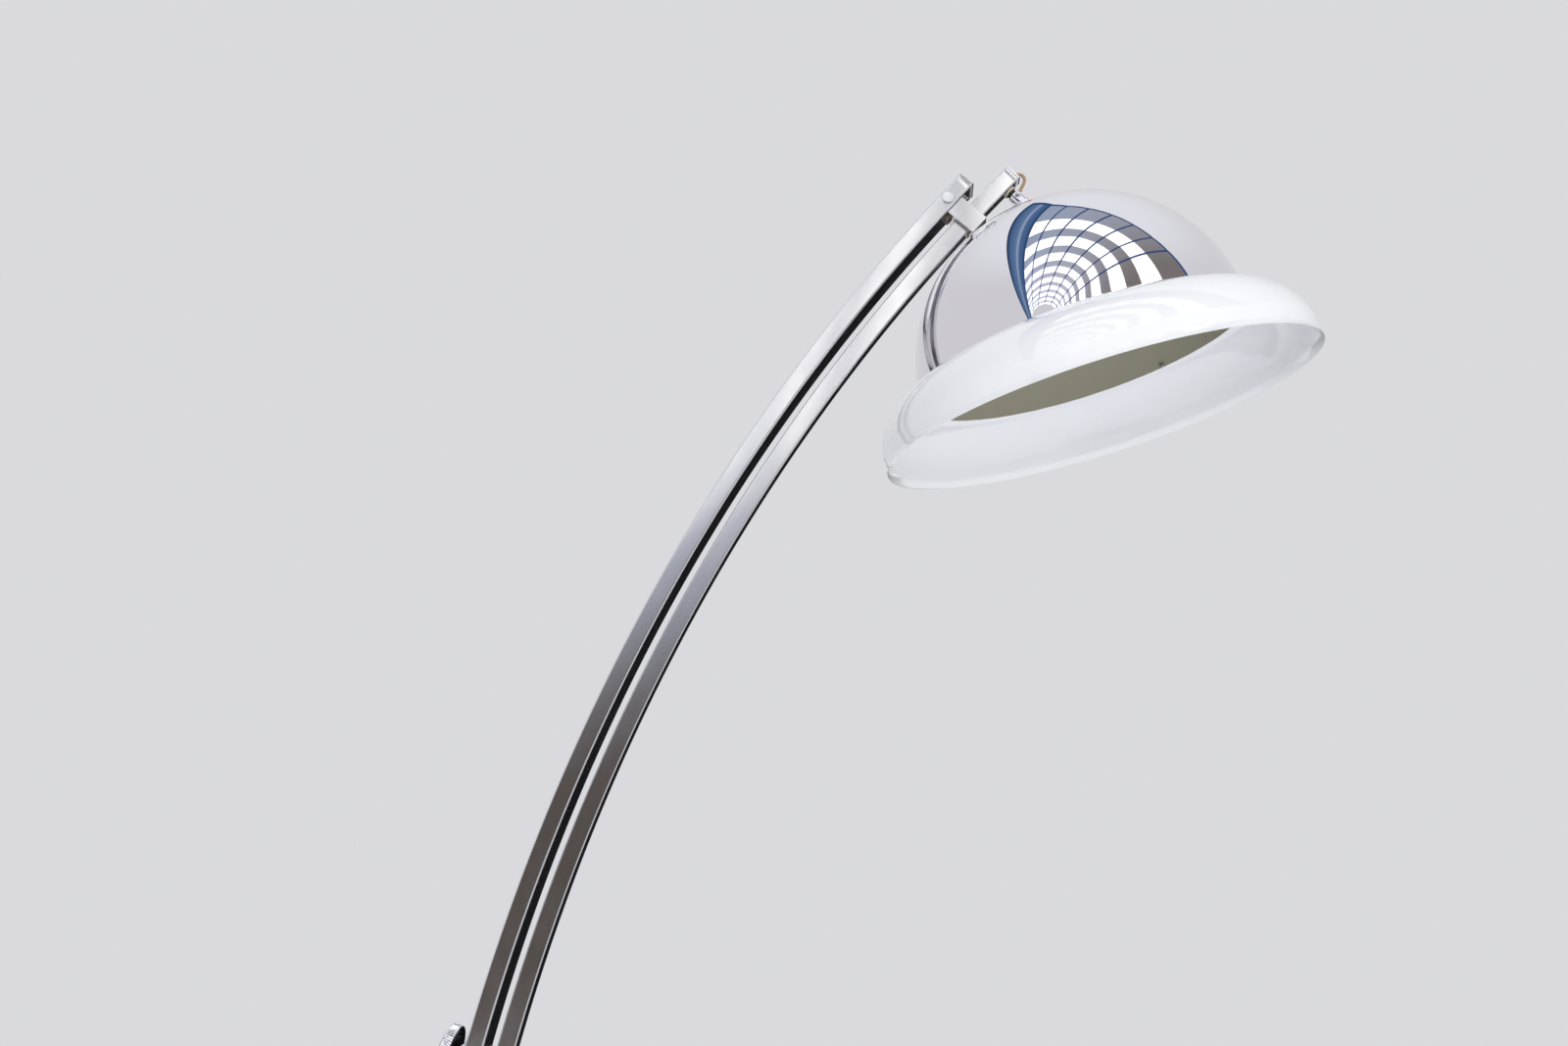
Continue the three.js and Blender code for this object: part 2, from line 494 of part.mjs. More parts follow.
function makeSwivel() {
  const swivel = groupAt(swivelPlace);
  const bore = STUD_RADIUS + GAP;
  const studTop = -TUBE_WALL - GAP - NUT_HEIGHT - 0.6;
  const studEnd = NECK_TOP + 4;
  piece("swivel_stud", alongX(STUD_RADIUS, studEnd - studTop, 20)
    .translate((studTop + studEnd) / 2, 0, 0), ZINC, swivel);
  piece("swivel_nut", cut(
    alongX(NUT_RADIUS, NUT_HEIGHT, 6), alongX(bore, 2 * NUT_HEIGHT, 16),
  ).translate(-TUBE_WALL - GAP - NUT_HEIGHT / 2, 0, 0), ZINC, swivel);
  piece("swivel_washer", turnedAlongX(
    ring(WASHER_RADIUS, bore, GAP, GAP + WASHER_THICKNESS), 28), NYLON, swivel);
  const lockTop = WASHER_THICKNESS + 2 * GAP;
  piece("swivel_lock_nut", cut(
    alongX(NUT_RADIUS, CUP_TOP - lockTop - GAP, 6), alongX(bore, 2 * CUP_TOP, 16),
  ).translate((lockTop + CUP_TOP - GAP) / 2, 0, 0), BLACK_PLASTIC, swivel);

  const mouth = SWIVEL_DROP - CUP_ABOVE_BALL;
  const waist = (CUP_TOP + mouth) / 2;
  const cup = turnedAlongX(closed([
    [CUP_TOP_RADIUS - CUP_WALL, CUP_TOP], [CUP_TOP_RADIUS - CUP_WALL, waist],
    [CUP_MOUTH_RADIUS - CUP_WALL, mouth], [CUP_MOUTH_RADIUS, mouth],
    [CUP_TOP_RADIUS, waist], [CUP_TOP_RADIUS, CUP_TOP],
  ].reverse()), 24);
  const screwAt = CUP_TOP + CUP_SCREW_BELOW_RIM;
  const screwHole = alongY(CUP_SCREW_RADIUS + GAP, CUP_TOP_RADIUS, 12)
    .translate(screwAt, -CUP_TOP_RADIUS, 0);
  piece("swivel_cup", cut(cup, screwHole, leadTube(LEAD_RADIUS + 2 * GAP)), CHROME, swivel);
  const screwLength = CUP_TOP_RADIUS - STUD_RADIUS - 2 * GAP;
  piece("swivel_cup_screw", cut(
    alongY(CUP_SCREW_RADIUS, screwLength, 16),
    hexKey(1, 1.5).rotateX(Math.PI / 2).translate(0, -screwLength / 2, 0),
  ).translate(screwAt, -STUD_RADIUS - GAP - screwLength / 2, 0), ZINC, swivel);

  const flange = CUP_TOP_RADIUS - CUP_WALL - GAP;
  const shoulderDeg = THREE.MathUtils.radToDeg(Math.acos(NECK_RADIUS / BALL_RADIUS));
  const ball = turnedAlongX([
    ...bow([0, SWIVEL_DROP], BALL_RADIUS, 90, -shoulderDeg, 9),
    [NECK_RADIUS, NECK_TOP + 3], [flange, NECK_TOP + 2.4], [flange, NECK_TOP], [0, NECK_TOP],
  ].reverse(), 20);
  piece("swivel_ball", cut(
    ball,
    alongX(bore, 2 * (studEnd + GAP - NECK_TOP), 16).translate(NECK_TOP, 0, 0),
    alongX(LEAD_RADIUS + GAP, 2 * (SWIVEL_DROP - studEnd - 3), 12).translate(SWIVEL_DROP + 6, 0, 0),
  ), CHROME, swivel);

  piece("shade_lead", leadTube(LEAD_RADIUS), LEAD_COVER, swivel);
}

// ---------- shade ----------
// The shade's own frame has its origin at the ball's centre and +Z up the dome's axis.
const DOME_CENTRE = BALL_BELOW_APEX - DOME_RADIUS;
const RING_WALL_RADIUS = RING_LIP_RADIUS - RING_LIP_FLARE;
const RING_BORE = DOME_RADIUS + GAP;
const SHOULDER_CENTRE = RING_WALL_RADIUS - RING_SHOULDER;
// The ring sits on its screws where its shoulder is lowest over them: at its bore or at their ends.
const REST_OFF = Math.max(
  Math.abs(RING_BORE - SHOULDER_CENTRE), Math.abs(DOME_RADIUS + CLIP_SCREW_OUT - SHOULDER_CENTRE));
const SHOULDER_RISE = Math.sqrt((RING_SHOULDER - RING_WALL) ** 2 - REST_OFF ** 2);
const LIP = DOME_CENTRE + CLIP_ABOVE_RIM + CLIP_SCREW_RADIUS + RING_REST - SHOULDER_RISE - RING_WAIST;
const BALL_OPENING = Math.sqrt(BALL_RADIUS ** 2 - (BALL_BELOW_APEX - DOME_WALL) ** 2) + BALL_CLEARANCE;
const SEAT_TOP = BALL_BELOW_APEX - DOME_WALL - SEAT_RADIUS ** 2 / (2 * DOME_RADIUS) - 2 * GAP;
const SEAT_BOTTOM = SEAT_TOP - SEAT_THICKNESS;
const HOLDER_PLATE_TOP = -BALL_RADIUS - BRIDGE_BELOW_BALL;

function around(count, firstDeg, radius) {
  return Array.from({ length: count }, (_, i) => {
    const angle = radians(firstDeg + (360 * i) / count);
    return new THREE.Matrix4().makeRotationZ(angle)
      .multiply(new THREE.Matrix4().makeTranslation(radius, 0, 0));
  });
}

function makeShade() {
  const ballCentre = new THREE.Vector3(SWIVEL_DROP, 0, 0).applyMatrix4(swivelPlace);
  const shade = groupAt(
    new THREE.Matrix4().makeRotationY(-radians(SHADE_TILT_DEG)).setPosition(ballCentre));

  const topDeg = (radius) => THREE.MathUtils.radToDeg(Math.acos(BALL_OPENING / radius));
  const inner = DOME_RADIUS - DOME_WALL;
  const clipHeight = DOME_CENTRE + CLIP_ABOVE_RIM;
  const clips = around(CLIP_COUNT, CLIP_FIRST_DEG, DOME_RADIUS);
  const clipHoles = clips.map((place) =>
    alongX(CLIP_SCREW_RADIUS + GAP, 20, 12).translate(0, 0, clipHeight).applyMatrix4(place));
  const dome = turned(closed([
    ...bow([0, DOME_CENTRE], DOME_RADIUS, 0, topDeg(DOME_RADIUS), 11),
    ...bow([0, DOME_CENTRE], inner, topDeg(inner), 0, 11),
  ]), 48);
  piece("dome", cut(dome, ...clipHoles), CHROME, shade);

  makeRing(shade);
  clips.forEach((place, i) => {
    const screw = groupAt(place, shade);
    piece(`ring_clip_screw_${i + 1}`, join(
      alongX(CLIP_SCREW_RADIUS, CLIP_SCREW_LENGTH, 12)
        .translate(CLIP_SCREW_OUT - CLIP_SCREW_LENGTH / 2, 0, 0),
      turnedAlongX([[0, -3.2], [2.4, -3.2], [3.6, -1.6], [3.6, 0], [0, 0]].map(
        ([radius, height]) => [radius, height - DOME_WALL - 4 * GAP]), 12),
    ), ZINC, screw).position.z = clipHeight;
  });
  makeSeat(shade);
  makeLampholder(shade);
}

function makeRing(shade) {
  const centre = [SHOULDER_CENTRE, LIP + RING_WAIST];
  const endDeg = (radius) => THREE.MathUtils.radToDeg(Math.acos((RING_BORE - SHOULDER_CENTRE) / radius));
  const innerShoulder = RING_SHOULDER - RING_WALL;
  const waist = RING_WALL_RADIUS - RING_LIP_FLARE / 2;
  piece("acrylic_ring", turned(closed([
    [RING_LIP_RADIUS - RING_WALL, LIP], [RING_LIP_RADIUS, LIP], [RING_LIP_RADIUS, LIP + 2],
    [waist, LIP + RING_WAIST / 2],
    ...bow(centre, RING_SHOULDER, 0, endDeg(RING_SHOULDER), 5),
    ...bow(centre, innerShoulder, endDeg(innerShoulder), 0, 5),
    [waist - RING_WALL, LIP + RING_WAIST / 2], [RING_LIP_RADIUS - RING_WALL, LIP + 2],
  ]), 48), ACRYLIC, shade);
}

// The steel ring inside the dome that holds the ball from below, and its screws.
function makeSeat(shade) {
  const grip = BALL_RADIUS + BALL_CLEARANCE;
  const boreAt = (height) => Math.sqrt(grip ** 2 - height ** 2);
  const screws = around(3, 90, (SEAT_RADIUS + BALL_RADIUS) / 2 + 0.5);
  const rise = SEAT_BOTTOM / 2;
  const seat = turned(closed([
    [boreAt(SEAT_BOTTOM), SEAT_BOTTOM], [SEAT_RADIUS, SEAT_BOTTOM], [SEAT_RADIUS, SEAT_TOP],
    [boreAt(SEAT_TOP), SEAT_TOP], [grip, 0], [boreAt(rise), rise],
  ]), 24);
  const threads = screws.map((place) =>
    alongZ(SEAT_SCREW_RADIUS + GAP, 10, 12).translate(0, 0, SEAT_BOTTOM).applyMatrix4(place));
  piece("ball_seat", cut(seat, ...threads), ZINC, shade);

  const bridgeTop = SEAT_BOTTOM - GAP;
  const plateTop = HOLDER_PLATE_TOP;
  const legLength = bridgeTop - plateTop + BRIDGE_WALL;
  const legs = [-1, 1].map((side) =>
    box(BRIDGE_WALL, BRIDGE_WIDTH, legLength)
      .translate(side * (SEAT_RADIUS - BRIDGE_WALL / 2), 0, bridgeTop - legLength / 2));
  const rim = turned(ring(SEAT_RADIUS, boreAt(SEAT_BOTTOM) + 1, bridgeTop - BRIDGE_WALL, bridgeTop), 24);
  const plate = box(2 * SEAT_RADIUS, BRIDGE_WIDTH, BRIDGE_WALL)
    .translate(0, 0, plateTop - BRIDGE_WALL / 2);
  const nippleHole = alongZ(NIPPLE_RADIUS + GAP, 4 * BRIDGE_WALL, 16).translate(0, 0, plateTop);
  piece("holder_bridge", cut(join(rim, ...legs, plate), nippleHole, ...threads), ZINC, shade);

  const screw = turned([
    [0, -2.6], [3, -2.6], [3.6, -1.4], [3.6, 0], [SEAT_SCREW_RADIUS, 0], [SEAT_SCREW_RADIUS, 6], [0, 6],
  ], 12).translate(0, 0, bridgeTop - BRIDGE_WALL - GAP);
  screws.forEach((place, i) => {
    piece(`seat_screw_${i + 1}`, screw, ZINC, groupAt(place, shade));
  });
}

function makeLampholder(shade) {
  const plateBottom = HOLDER_PLATE_TOP - BRIDGE_WALL;
  const holderTop = plateBottom - GAP;
  const holderBottom = holderTop - HOLDER_LENGTH;
  const nippleHole = NIPPLE_RADIUS + GAP;
  const nippleTop = plateBottom + BRIDGE_WALL + 7;
  const nippleBottom = holderTop - 8;
  piece("holder_nipple", turned(ring(NIPPLE_RADIUS, NIPPLE_RADIUS - 1.2, nippleBottom, nippleTop), 20),
    BRASS, shade);
  piece("nipple_nut", cut(alongZ(8, 4, 6), alongZ(nippleHole, 10, 16))
    .translate(0, 0, plateBottom + BRIDGE_WALL + GAP + 2), BRASS, shade);

  const bore = HOLDER_RADIUS - HOLDER_WALL;
  piece("lampholder", turned(closed([
    [bore, holderBottom], [HOLDER_RADIUS, holderBottom], [HOLDER_RADIUS, holderTop - 12],
    [HOLDER_RADIUS - 7, holderTop], [nippleHole, holderTop], [nippleHole, holderTop - 4],
    [HOLDER_RADIUS - 9, holderTop - 4], [bore, holderTop - 14],
  ]), 20), BLACK_PLASTIC, shade);
  const contactTop = holderTop - 14.5;
  const capTop = contactTop - 6;
  piece("lampholder_contact", turned([
    [0, contactTop - 5], [bore - GAP, contactTop - 5], [bore - GAP, contactTop], [0, contactTop],
  ], 24), PORCELAIN, shade);
  piece("bulb_cap", turned([
    [0, capTop - BULB_CAP_LENGTH], [BULB_CAP_RADIUS, capTop - BULB_CAP_LENGTH],
    [BULB_CAP_RADIUS, capTop - 5], [5, capTop], [0, capTop],
  ], 24), BRASS, shade);

  const glassTop = capTop - BULB_CAP_LENGTH - GAP;
  const globe = glassTop - BULB_LENGTH + BULB_RADIUS;
  piece("bulb_glass", turned([
    ...bow([0, globe], BULB_RADIUS, -90, 35, 6),
    [BULB_CAP_RADIUS + 4, glassTop - 14], [BULB_CAP_RADIUS, glassTop], [0, glassTop],
  ], 20), OPAL_GLASS, shade);
}

makeBase();
makeMastSocket();
makeMainArm();
makeUpperSleeve();
makeSlidingArm();
makeLowerClamp();
makeSwivel();
makeShade();

export default lamp;
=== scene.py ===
# Arc floor lamp: a weighted round base, a bent box tube, a second box tube sliding on the same arc,
# and a chromed dome shade with an opal acrylic ring on a ball swivel. Metres, +Z up.
import json
import math

import bmesh
import bpy
from mathutils import Matrix, Vector


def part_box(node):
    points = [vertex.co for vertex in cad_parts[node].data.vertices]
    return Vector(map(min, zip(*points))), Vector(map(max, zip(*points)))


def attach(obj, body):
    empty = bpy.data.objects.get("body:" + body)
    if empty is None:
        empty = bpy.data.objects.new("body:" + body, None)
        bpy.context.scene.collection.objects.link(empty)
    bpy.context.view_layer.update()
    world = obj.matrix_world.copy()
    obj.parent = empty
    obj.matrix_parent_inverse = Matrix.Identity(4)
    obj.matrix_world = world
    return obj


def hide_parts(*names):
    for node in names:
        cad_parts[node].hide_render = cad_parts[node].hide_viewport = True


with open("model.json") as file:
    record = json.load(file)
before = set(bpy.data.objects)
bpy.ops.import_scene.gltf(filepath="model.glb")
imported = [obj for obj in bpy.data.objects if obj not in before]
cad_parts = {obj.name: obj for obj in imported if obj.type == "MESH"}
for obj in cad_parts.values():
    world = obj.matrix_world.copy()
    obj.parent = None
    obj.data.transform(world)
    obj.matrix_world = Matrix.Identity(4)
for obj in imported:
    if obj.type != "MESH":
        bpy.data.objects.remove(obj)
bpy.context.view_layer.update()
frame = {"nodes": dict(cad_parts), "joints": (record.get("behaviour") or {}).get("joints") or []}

joints = {joint["name"]: joint for joint in frame["joints"]}

# ---- Camera ----
# The eye is about 0.4 m under the shade's mouth, and looks up a little at the lamp's front.
eye = Vector((0.4436, -1.5176, 1.2599))
turned_right, tipped_up, rolled = math.radians(-5.66), math.radians(10.2), math.radians(-0.12)
camera_data = bpy.data.cameras.new("camera")
camera_data.sensor_width = 36
camera_data.lens = 31.1
camera = bpy.data.objects.new("camera", camera_data)
bpy.context.scene.collection.objects.link(camera)
camera.matrix_world = (
    Matrix.Translation(eye)
    @ Matrix.Rotation(-turned_right, 4, "Z")
    @ Matrix.Rotation(math.pi / 2 + tipped_up, 4, "X")
    @ Matrix.Rotation(rolled, 4, "Z")
)
bpy.context.scene.camera = camera
bpy.context.scene.view_settings.view_transform = "Standard"

# ---- Studio: floor and backdrop ----
# A pale floor that fades into an evenly lit pale backdrop on every side.


def linear(hex_colour):
    """A linear RGBA colour from an sRGB hex string."""
    channels = [int(hex_colour[i:i + 2], 16) / 255 for i in (0, 2, 4)]
    return (*[c / 12.92 if c <= 0.04045 else ((c + 0.055) / 1.055) ** 2.4 for c in channels], 1)


def add(tree, kind, inputs=None, **settings):
    """One node: its settings by name, and its inputs as values or as sockets to link from."""
    node = tree.nodes.new(kind)
    for name, value in settings.items():
        setattr(node, name, value)
    for name, value in (inputs or {}).items():
        if isinstance(value, bpy.types.NodeSocket):
            tree.links.new(value, node.inputs[name])
        else:
            node.inputs[name].default_value = value
    return node


def blend(tree, share, low, high):
    """A colour between two, which are sRGB hex strings or sockets."""
    low, high = (linear(end) if isinstance(end, str) else end for end in (low, high))
    mix = add(tree, "ShaderNodeMix", {"Factor": share, "A": low, "B": high}, data_type="RGBA")
    return mix.outputs["Result"]


def surface(tree, kind, inputs):
    """A material's last two nodes: its shader and its output."""
    shader = add(tree, kind, inputs)
    add(tree, "ShaderNodeOutputMaterial", {"Surface": shader.outputs[0]})


def new_material(name):
    """An empty material and its node tree."""
    material = bpy.data.materials.new(name)
    material.use_nodes = True
    material.node_tree.nodes.clear()
    return material, material.node_tree


def mesh_object(name, vertices, faces):
    """A mesh object whose place is in its vertices."""
    mesh = bpy.data.meshes.new(name)
    mesh.from_pydata(vertices, [], faces)
    mesh.validate()
    piece = bpy.data.objects.new(name, mesh)
    bpy.context.scene.collection.objects.link(piece)
    return piece


world = bpy.data.worlds.new("pale backdrop")
world.use_nodes = True
sky = add(world.node_tree, "ShaderNodeTexCoord")
steepness = add(world.node_tree, "ShaderNodeSeparateXYZ", {0: sky.outputs["Generated"]})
overhead = add(world.node_tree, "ShaderNodeMapRange",
               {"Value": steepness.outputs["Z"], "From Min": 0.55, "From Max": 0.95},
               interpolation_type="SMOOTHSTEP")
ceiling = blend(world.node_tree, overhead.outputs["Result"], "dadade", "edeff5")
world.node_tree.links.new(ceiling, world.node_tree.nodes["Background"].inputs["Color"])
bpy.context.scene.world = world

floor_radius = 3.6
floor_sides = 96
floor = mesh_object(
    "floor",
    [(floor_radius * math.cos(2 * math.pi * i / floor_sides),
      floor_radius * math.sin(2 * math.pi * i / floor_sides), -0.001) for i in range(floor_sides)],
    [list(range(floor_sides))],
)
floor_paint, tree = new_material("pale matt floor paint")
position = add(tree, "ShaderNodeTexCoord")
distance = add(tree, "ShaderNodeVectorMath", {0: position.outputs["Object"]}, operation="LENGTH")
fade = add(tree, "ShaderNodeMapRange",
           {"Value": distance.outputs["Value"], "From Min": 1.4, "From Max": floor_radius - 0.1},
           interpolation_type="SMOOTHSTEP")
paint = add(tree, "ShaderNodeBsdfPrincipled", {"Base Color": linear("d6d6da"), "Roughness": 0.7})
clear = add(tree, "ShaderNodeBsdfTransparent")
surface(tree, "ShaderNodeMixShader",
        {0: fade.outputs["Result"], 1: paint.outputs["BSDF"], 2: clear.outputs["BSDF"]})
floor.data.materials.append(floor_paint)

# ---- Studio: light ----
# A long vault of softboxes on hoops stands above and behind the camera. Its white panes, grey
# hoops and blue rails are what the polished metal mirrors.
shade_low, shade_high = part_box("dome")
under_vault = (shade_low + shade_high) / 2
vault_along = Vector((-0.56, -0.83, 0)).normalized()
vault_across = Vector((-vault_along.y, vault_along.x, 0))
vault_radius = 0.80
vault_axis_off, vault_axis_up = 0.44, 1.36
left_wall, right_wall = 0.64, 0.86
arch_panes = 6
hoop_first, hoop_width, hoop_pitch, hoop_count = 0.51, 0.29, 0.64, 9
rail_share = 0.10
vault_start, front_edge = -0.345, 0.05


def vault_outline(step):
    """Across and up of the vault's section: 0 and arch_panes + 2 are the feet of its walls."""
    if step <= 1:
        return vault_axis_off - vault_radius, vault_axis_up - left_wall * (1 - step)
    if step >= arch_panes + 1:
        return vault_axis_off + vault_radius, vault_axis_up - right_wall * (step - arch_panes - 1)
    angle = math.pi * (1 - (step - 1) / arch_panes)
    return vault_axis_off + vault_radius * math.cos(angle), vault_axis_up + vault_radius * math.sin(angle)


def vault_strip(step_from, step_to, along_from, along_to):
    """The corners of one flat strip of the vault."""
    corners = []
    for step, along in ((step_from, along_from), (step_to, along_from),
                        (step_to, along_to), (step_from, along_to)):
        across, up = vault_outline(step)
        corners.append(under_vault + vault_across * across + vault_along * along + Vector((0, 0, up)))
    return corners


def only_mirrored(card):
    """A card that polished metal mirrors, and that neither shows nor shades anything."""
    card.visible_camera = card.visible_diffuse = card.visible_shadow = False


def glowing(name, colour, strength):
    """A surface that only gives light."""
    material, tree = new_material(name)
    surface(tree, "ShaderNodeEmission", {"Color": linear(colour), "Strength": strength})
    return material


def far_hoops(name):
    """Grey hoops, bluish on the left and brownish on the right, that grow paler along the vault."""
    material, tree = new_material(name)
    position = add(tree, "ShaderNodeTexCoord").outputs["Object"]
    off = add(tree, "ShaderNodeVectorMath", {0: position, 1: under_vault}, operation="DISTANCE")
    across = add(tree, "ShaderNodeVectorMath", {0: position, 1: vault_across}, operation="DOT_PRODUCT")
    middle = under_vault.dot(vault_across) + vault_axis_off
    right = add(tree, "ShaderNodeMapRange",
                {"Value": across.outputs["Value"],
                 "From Min": middle - vault_radius, "From Max": middle + vault_radius})
    near = blend(tree, right.outputs["Result"], "939fb4", "75706f")
    share = add(tree, "ShaderNodeMapRange", {"Value": off.outputs["Value"], "From Min": 1.6, "From Max": 4.5})
    tone = blend(tree, share.outputs["Result"], near, "c6ccdc")
    surface(tree, "ShaderNodeEmission", {"Color": tone, "Strength": 1.15})
    return material


def side_cloth(name):
    """The left wall's glowing cloth, from navy at its foot to navy at its top, with paler bands between that
    are painted light and shade.
    """
    material, tree = new_material(name)
    position = add(tree, "ShaderNodeTexCoord").outputs["Object"]
    axes = add(tree, "ShaderNodeSeparateXYZ", {0: position})
    foot = under_vault.z + vault_axis_up - left_wall
    share = add(tree, "ShaderNodeMapRange",
                {"Value": axes.outputs["Z"], "From Min": foot, "From Max": foot + left_wall})
    painted_light_bands = add(tree, "ShaderNodeValToRGB", {"Fac": share.outputs["Result"]})
    # Paler and darker bands: painted light and shade of the side wall.
    stops = ((0.0, "1c2c48"), (0.08, "26395a"), (0.16, "48648c"), (0.38, "5d789c"), (0.48, "97a6bf"),
             (0.56, "506c92"), (0.86, "3c5c88"), (0.94, "1c2c48"))
    for (place, colour), stop in zip(stops, [*painted_light_bands.color_ramp.elements, *[None] * (len(stops) - 2)]):
        stop = stop or painted_light_bands.color_ramp.elements.new(place)
        stop.position, stop.color = place, linear(colour)
    surface(tree, "ShaderNodeEmission", {"Color": painted_light_bands.outputs["Color"], "Strength": 1.1})
    return material


vault_corners, vault_faces, vault_finish = [], [], []
PANE, HOOP, RAIL, LEFT_WALL = range(4)
along = vault_start
for hoop in range(hoop_count):
    width = hoop_first if hoop == 0 else hoop_width
    for lane in range(arch_panes + 2):
        lane_from, lane_to = lane + rail_share / 2, lane + 1 - rail_share / 2
        pane_end = along + width + hoop_pitch - hoop_width
        hoop_start = along + (front_edge if hoop == 0 else 0)
        strips = [(lane_from, lane_to, along, hoop_start, RAIL),
                  (lane_from, lane_to, hoop_start, along + width, HOOP),
                  (lane_from, lane_to, along + width, pane_end, PANE),
                  (lane_to, lane_to + rail_share, along, pane_end, RAIL)]
        for step_from, step_to, start, end, finish in strips:
            if step_to > arch_panes + 2 or end == start:
                continue
            first = len(vault_corners)
            vault_corners += vault_strip(step_from, step_to, start, end)
            vault_faces.append([first, first + 1, first + 2, first + 3])
            vault_finish.append(LEFT_WALL if lane == 0 and finish != RAIL else finish)
    along = pane_end
vault = mesh_object("softbox_vault", vault_corners, vault_faces)
for material in (glowing("lit diffuser cloth", "ffffff", 1.6), far_hoops("grey hoop paler with distance"),
                 glowing("blue rail", "3f5c8c", 0.8), side_cloth("blue side cloth with painted light and shade")):
    vault.data.materials.append(material)
for face, finish in zip(vault.data.polygons, vault_finish):
    face.material_index = finish
only_mirrored(vault)

# A dark card stands low behind the camera, so that the upright steel darkens towards its foot.
card_from, card_to, card_behind = -3.0, 1.8, -3.7
card_dark_to, card_top = 1.25, 2.25
card = mesh_object("dark_card", [(card_from, card_behind, 0), (card_to, card_behind, 0),
                                 (card_to, card_behind, card_top), (card_from, card_behind, card_top)],
                   [[0, 1, 2, 3]])
card_cloth, tree = new_material("dark card paler at its top")
position = add(tree, "ShaderNodeTexCoord")
height = add(tree, "ShaderNodeSeparateXYZ", {0: position.outputs["Object"]})
share = add(tree, "ShaderNodeMapRange",
            {"Value": height.outputs["Z"], "From Min": card_dark_to, "From Max": card_top},
            interpolation_type="SMOOTHSTEP")
tone = blend(tree, share.outputs["Result"], "57504b", "b4b8c6")
surface(tree, "ShaderNodeEmission", {"Color": tone})
card.data.materials.append(card_cloth)
only_mirrored(card)

# Two dark cards stand behind the lamp, which the undersides of both tubes mirror.
black_card = glowing("black card", "17171a", 1.0)
for name, left, right, behind, bottom, top in (("back_card", 0.1, 2.6, 3.0, 0.1, 2.45),
                                               ("low_card", -0.7, 1.6, 1.1, 0.03, 1.15)):
    card = mesh_object(name, [(left, behind, bottom), (right, behind, bottom), (right, behind, top),
                              (left, behind, top)], [[0, 1, 2, 3]])
    card.data.materials.append(black_card)
    only_mirrored(card)


def soft_light(name, place, aim, size, power):
    """A large lamp that lights what is matt and is not mirrored by what is polished."""
    data = bpy.data.lights.new(name, "AREA")
    data.shape, data.size, data.energy = "DISK", size, power
    lamp = bpy.data.objects.new(name, data)
    bpy.context.scene.collection.objects.link(lamp)
    lamp.matrix_world = Matrix.Translation(place) @ (place - aim).to_track_quat("Z", "Y").to_matrix().to_4x4()
    lamp.visible_glossy = False
    lamp.visible_camera = False


soft_light("key_above", Vector((0.7, -1.6, 3.6)), under_vault, 2.0, 12)
soft_light("fill_below", Vector((1.3, -1.5, 0.6)), under_vault, 0.6, 12)

# ---- Base ----
# An iron disc of about 35 kg under a cover spun from 1.5 mm stainless sheet, on a felt pad that
# saves the floor. The cord leaves it through a black gland at the back, close to the floor.
MM = 0.001
gap = 0.3 * MM  # between faces that touch
lines_per_metre = 1 / (0.8 * MM)  # of the scratches and lathe lines


def bow(centre, radius, start, end, steps):
    """Points of an arc in an outline, from one angle in degrees to another."""
    angles = [math.radians(start + (end - start) * i / steps) for i in range(steps + 1)]
    return [(centre[0] + radius * math.cos(a), centre[1] + radius * math.sin(a)) for a in angles]


def turned(name, outline, place=Matrix(), sides=96, on_axis=False, sharp=40):
    """A piece turned about +Z from a closed outline of (radius, height) pairs, then put in place.
    A third number in a pair gives its ring that many corners. With on_axis, the outline starts and
    ends on the axis instead of closing on itself."""
    work = bmesh.new()
    rings = []
    for radius, height, *corners in outline:
        if radius < 1e-6:
            rings.append([work.verts.new((0, 0, height))] * sides)
            continue
        ring = []
        for i in range(sides):
            angle, reach = 2 * math.pi * i / sides, radius
            if corners:
                half = math.pi / corners[0]
                reach *= math.cos(half) / math.cos(angle % (2 * half) - half)
            ring.append(work.verts.new((reach * math.cos(angle), reach * math.sin(angle), height)))
        rings.append(ring)
    pairs = list(zip(rings, rings[1:])) + ([] if on_axis else [(rings[-1], rings[0])])
    for lower, upper in pairs:
        for i in range(sides):
            j = (i + 1) % sides
            corners = [lower[i], lower[j], upper[j], upper[i]]
            corners = [c for k, c in enumerate(corners) if c not in corners[:k]]
            if len(corners) > 2:
                work.faces.new(corners)
    bmesh.ops.recalc_face_normals(work, faces=work.faces)
    bmesh.ops.transform(work, matrix=place, verts=work.verts)
    for face in work.faces:
        face.smooth = True
    mesh = bpy.data.meshes.new(name)
    work.to_mesh(mesh)
    work.free()
    mesh.set_sharp_from_angle(angle=math.radians(sharp))
    piece = bpy.data.objects.new(name, mesh)
    bpy.context.scene.collection.objects.link(piece)
    return piece


def plain_mesh(piece):
    """Replaces a piece's mesh by what its modifiers make of it, and removes them."""
    graph = bpy.context.evaluated_depsgraph_get()
    made = bpy.data.meshes.new_from_object(piece.evaluated_get(graph), depsgraph=graph)
    piece.modifiers.clear()
    piece.data = made
    return piece


def with_nodes(name, tree, **inputs):
    """A plain mesh made by a Geometry Nodes tree from its named inputs."""
    piece = mesh_object(name, [(0, 0, 0)], [])
    modifier = piece.modifiers.new("nodes", "NODES")
    modifier.node_group = tree
    sockets = {s.name: s.identifier for s in tree.interface.items_tree if s.in_out == "INPUT"}
    for key, value in inputs.items():
        modifier[sockets[key.replace("_", " ")]] = value
    return plain_mesh(piece)


def soften(piece, radius, segments=2):
    """Rounds a piece's sharp edges, keeps its flats flat, and makes the result its plain mesh."""
    bevel = piece.modifiers.new("edges", "BEVEL")
    bevel.width, bevel.segments, bevel.limit_method, bevel.angle_limit = radius, segments, "ANGLE", 0.6
    piece.modifiers.new("flats", "WEIGHTED_NORMAL").keep_sharp = True
    return plain_mesh(piece)


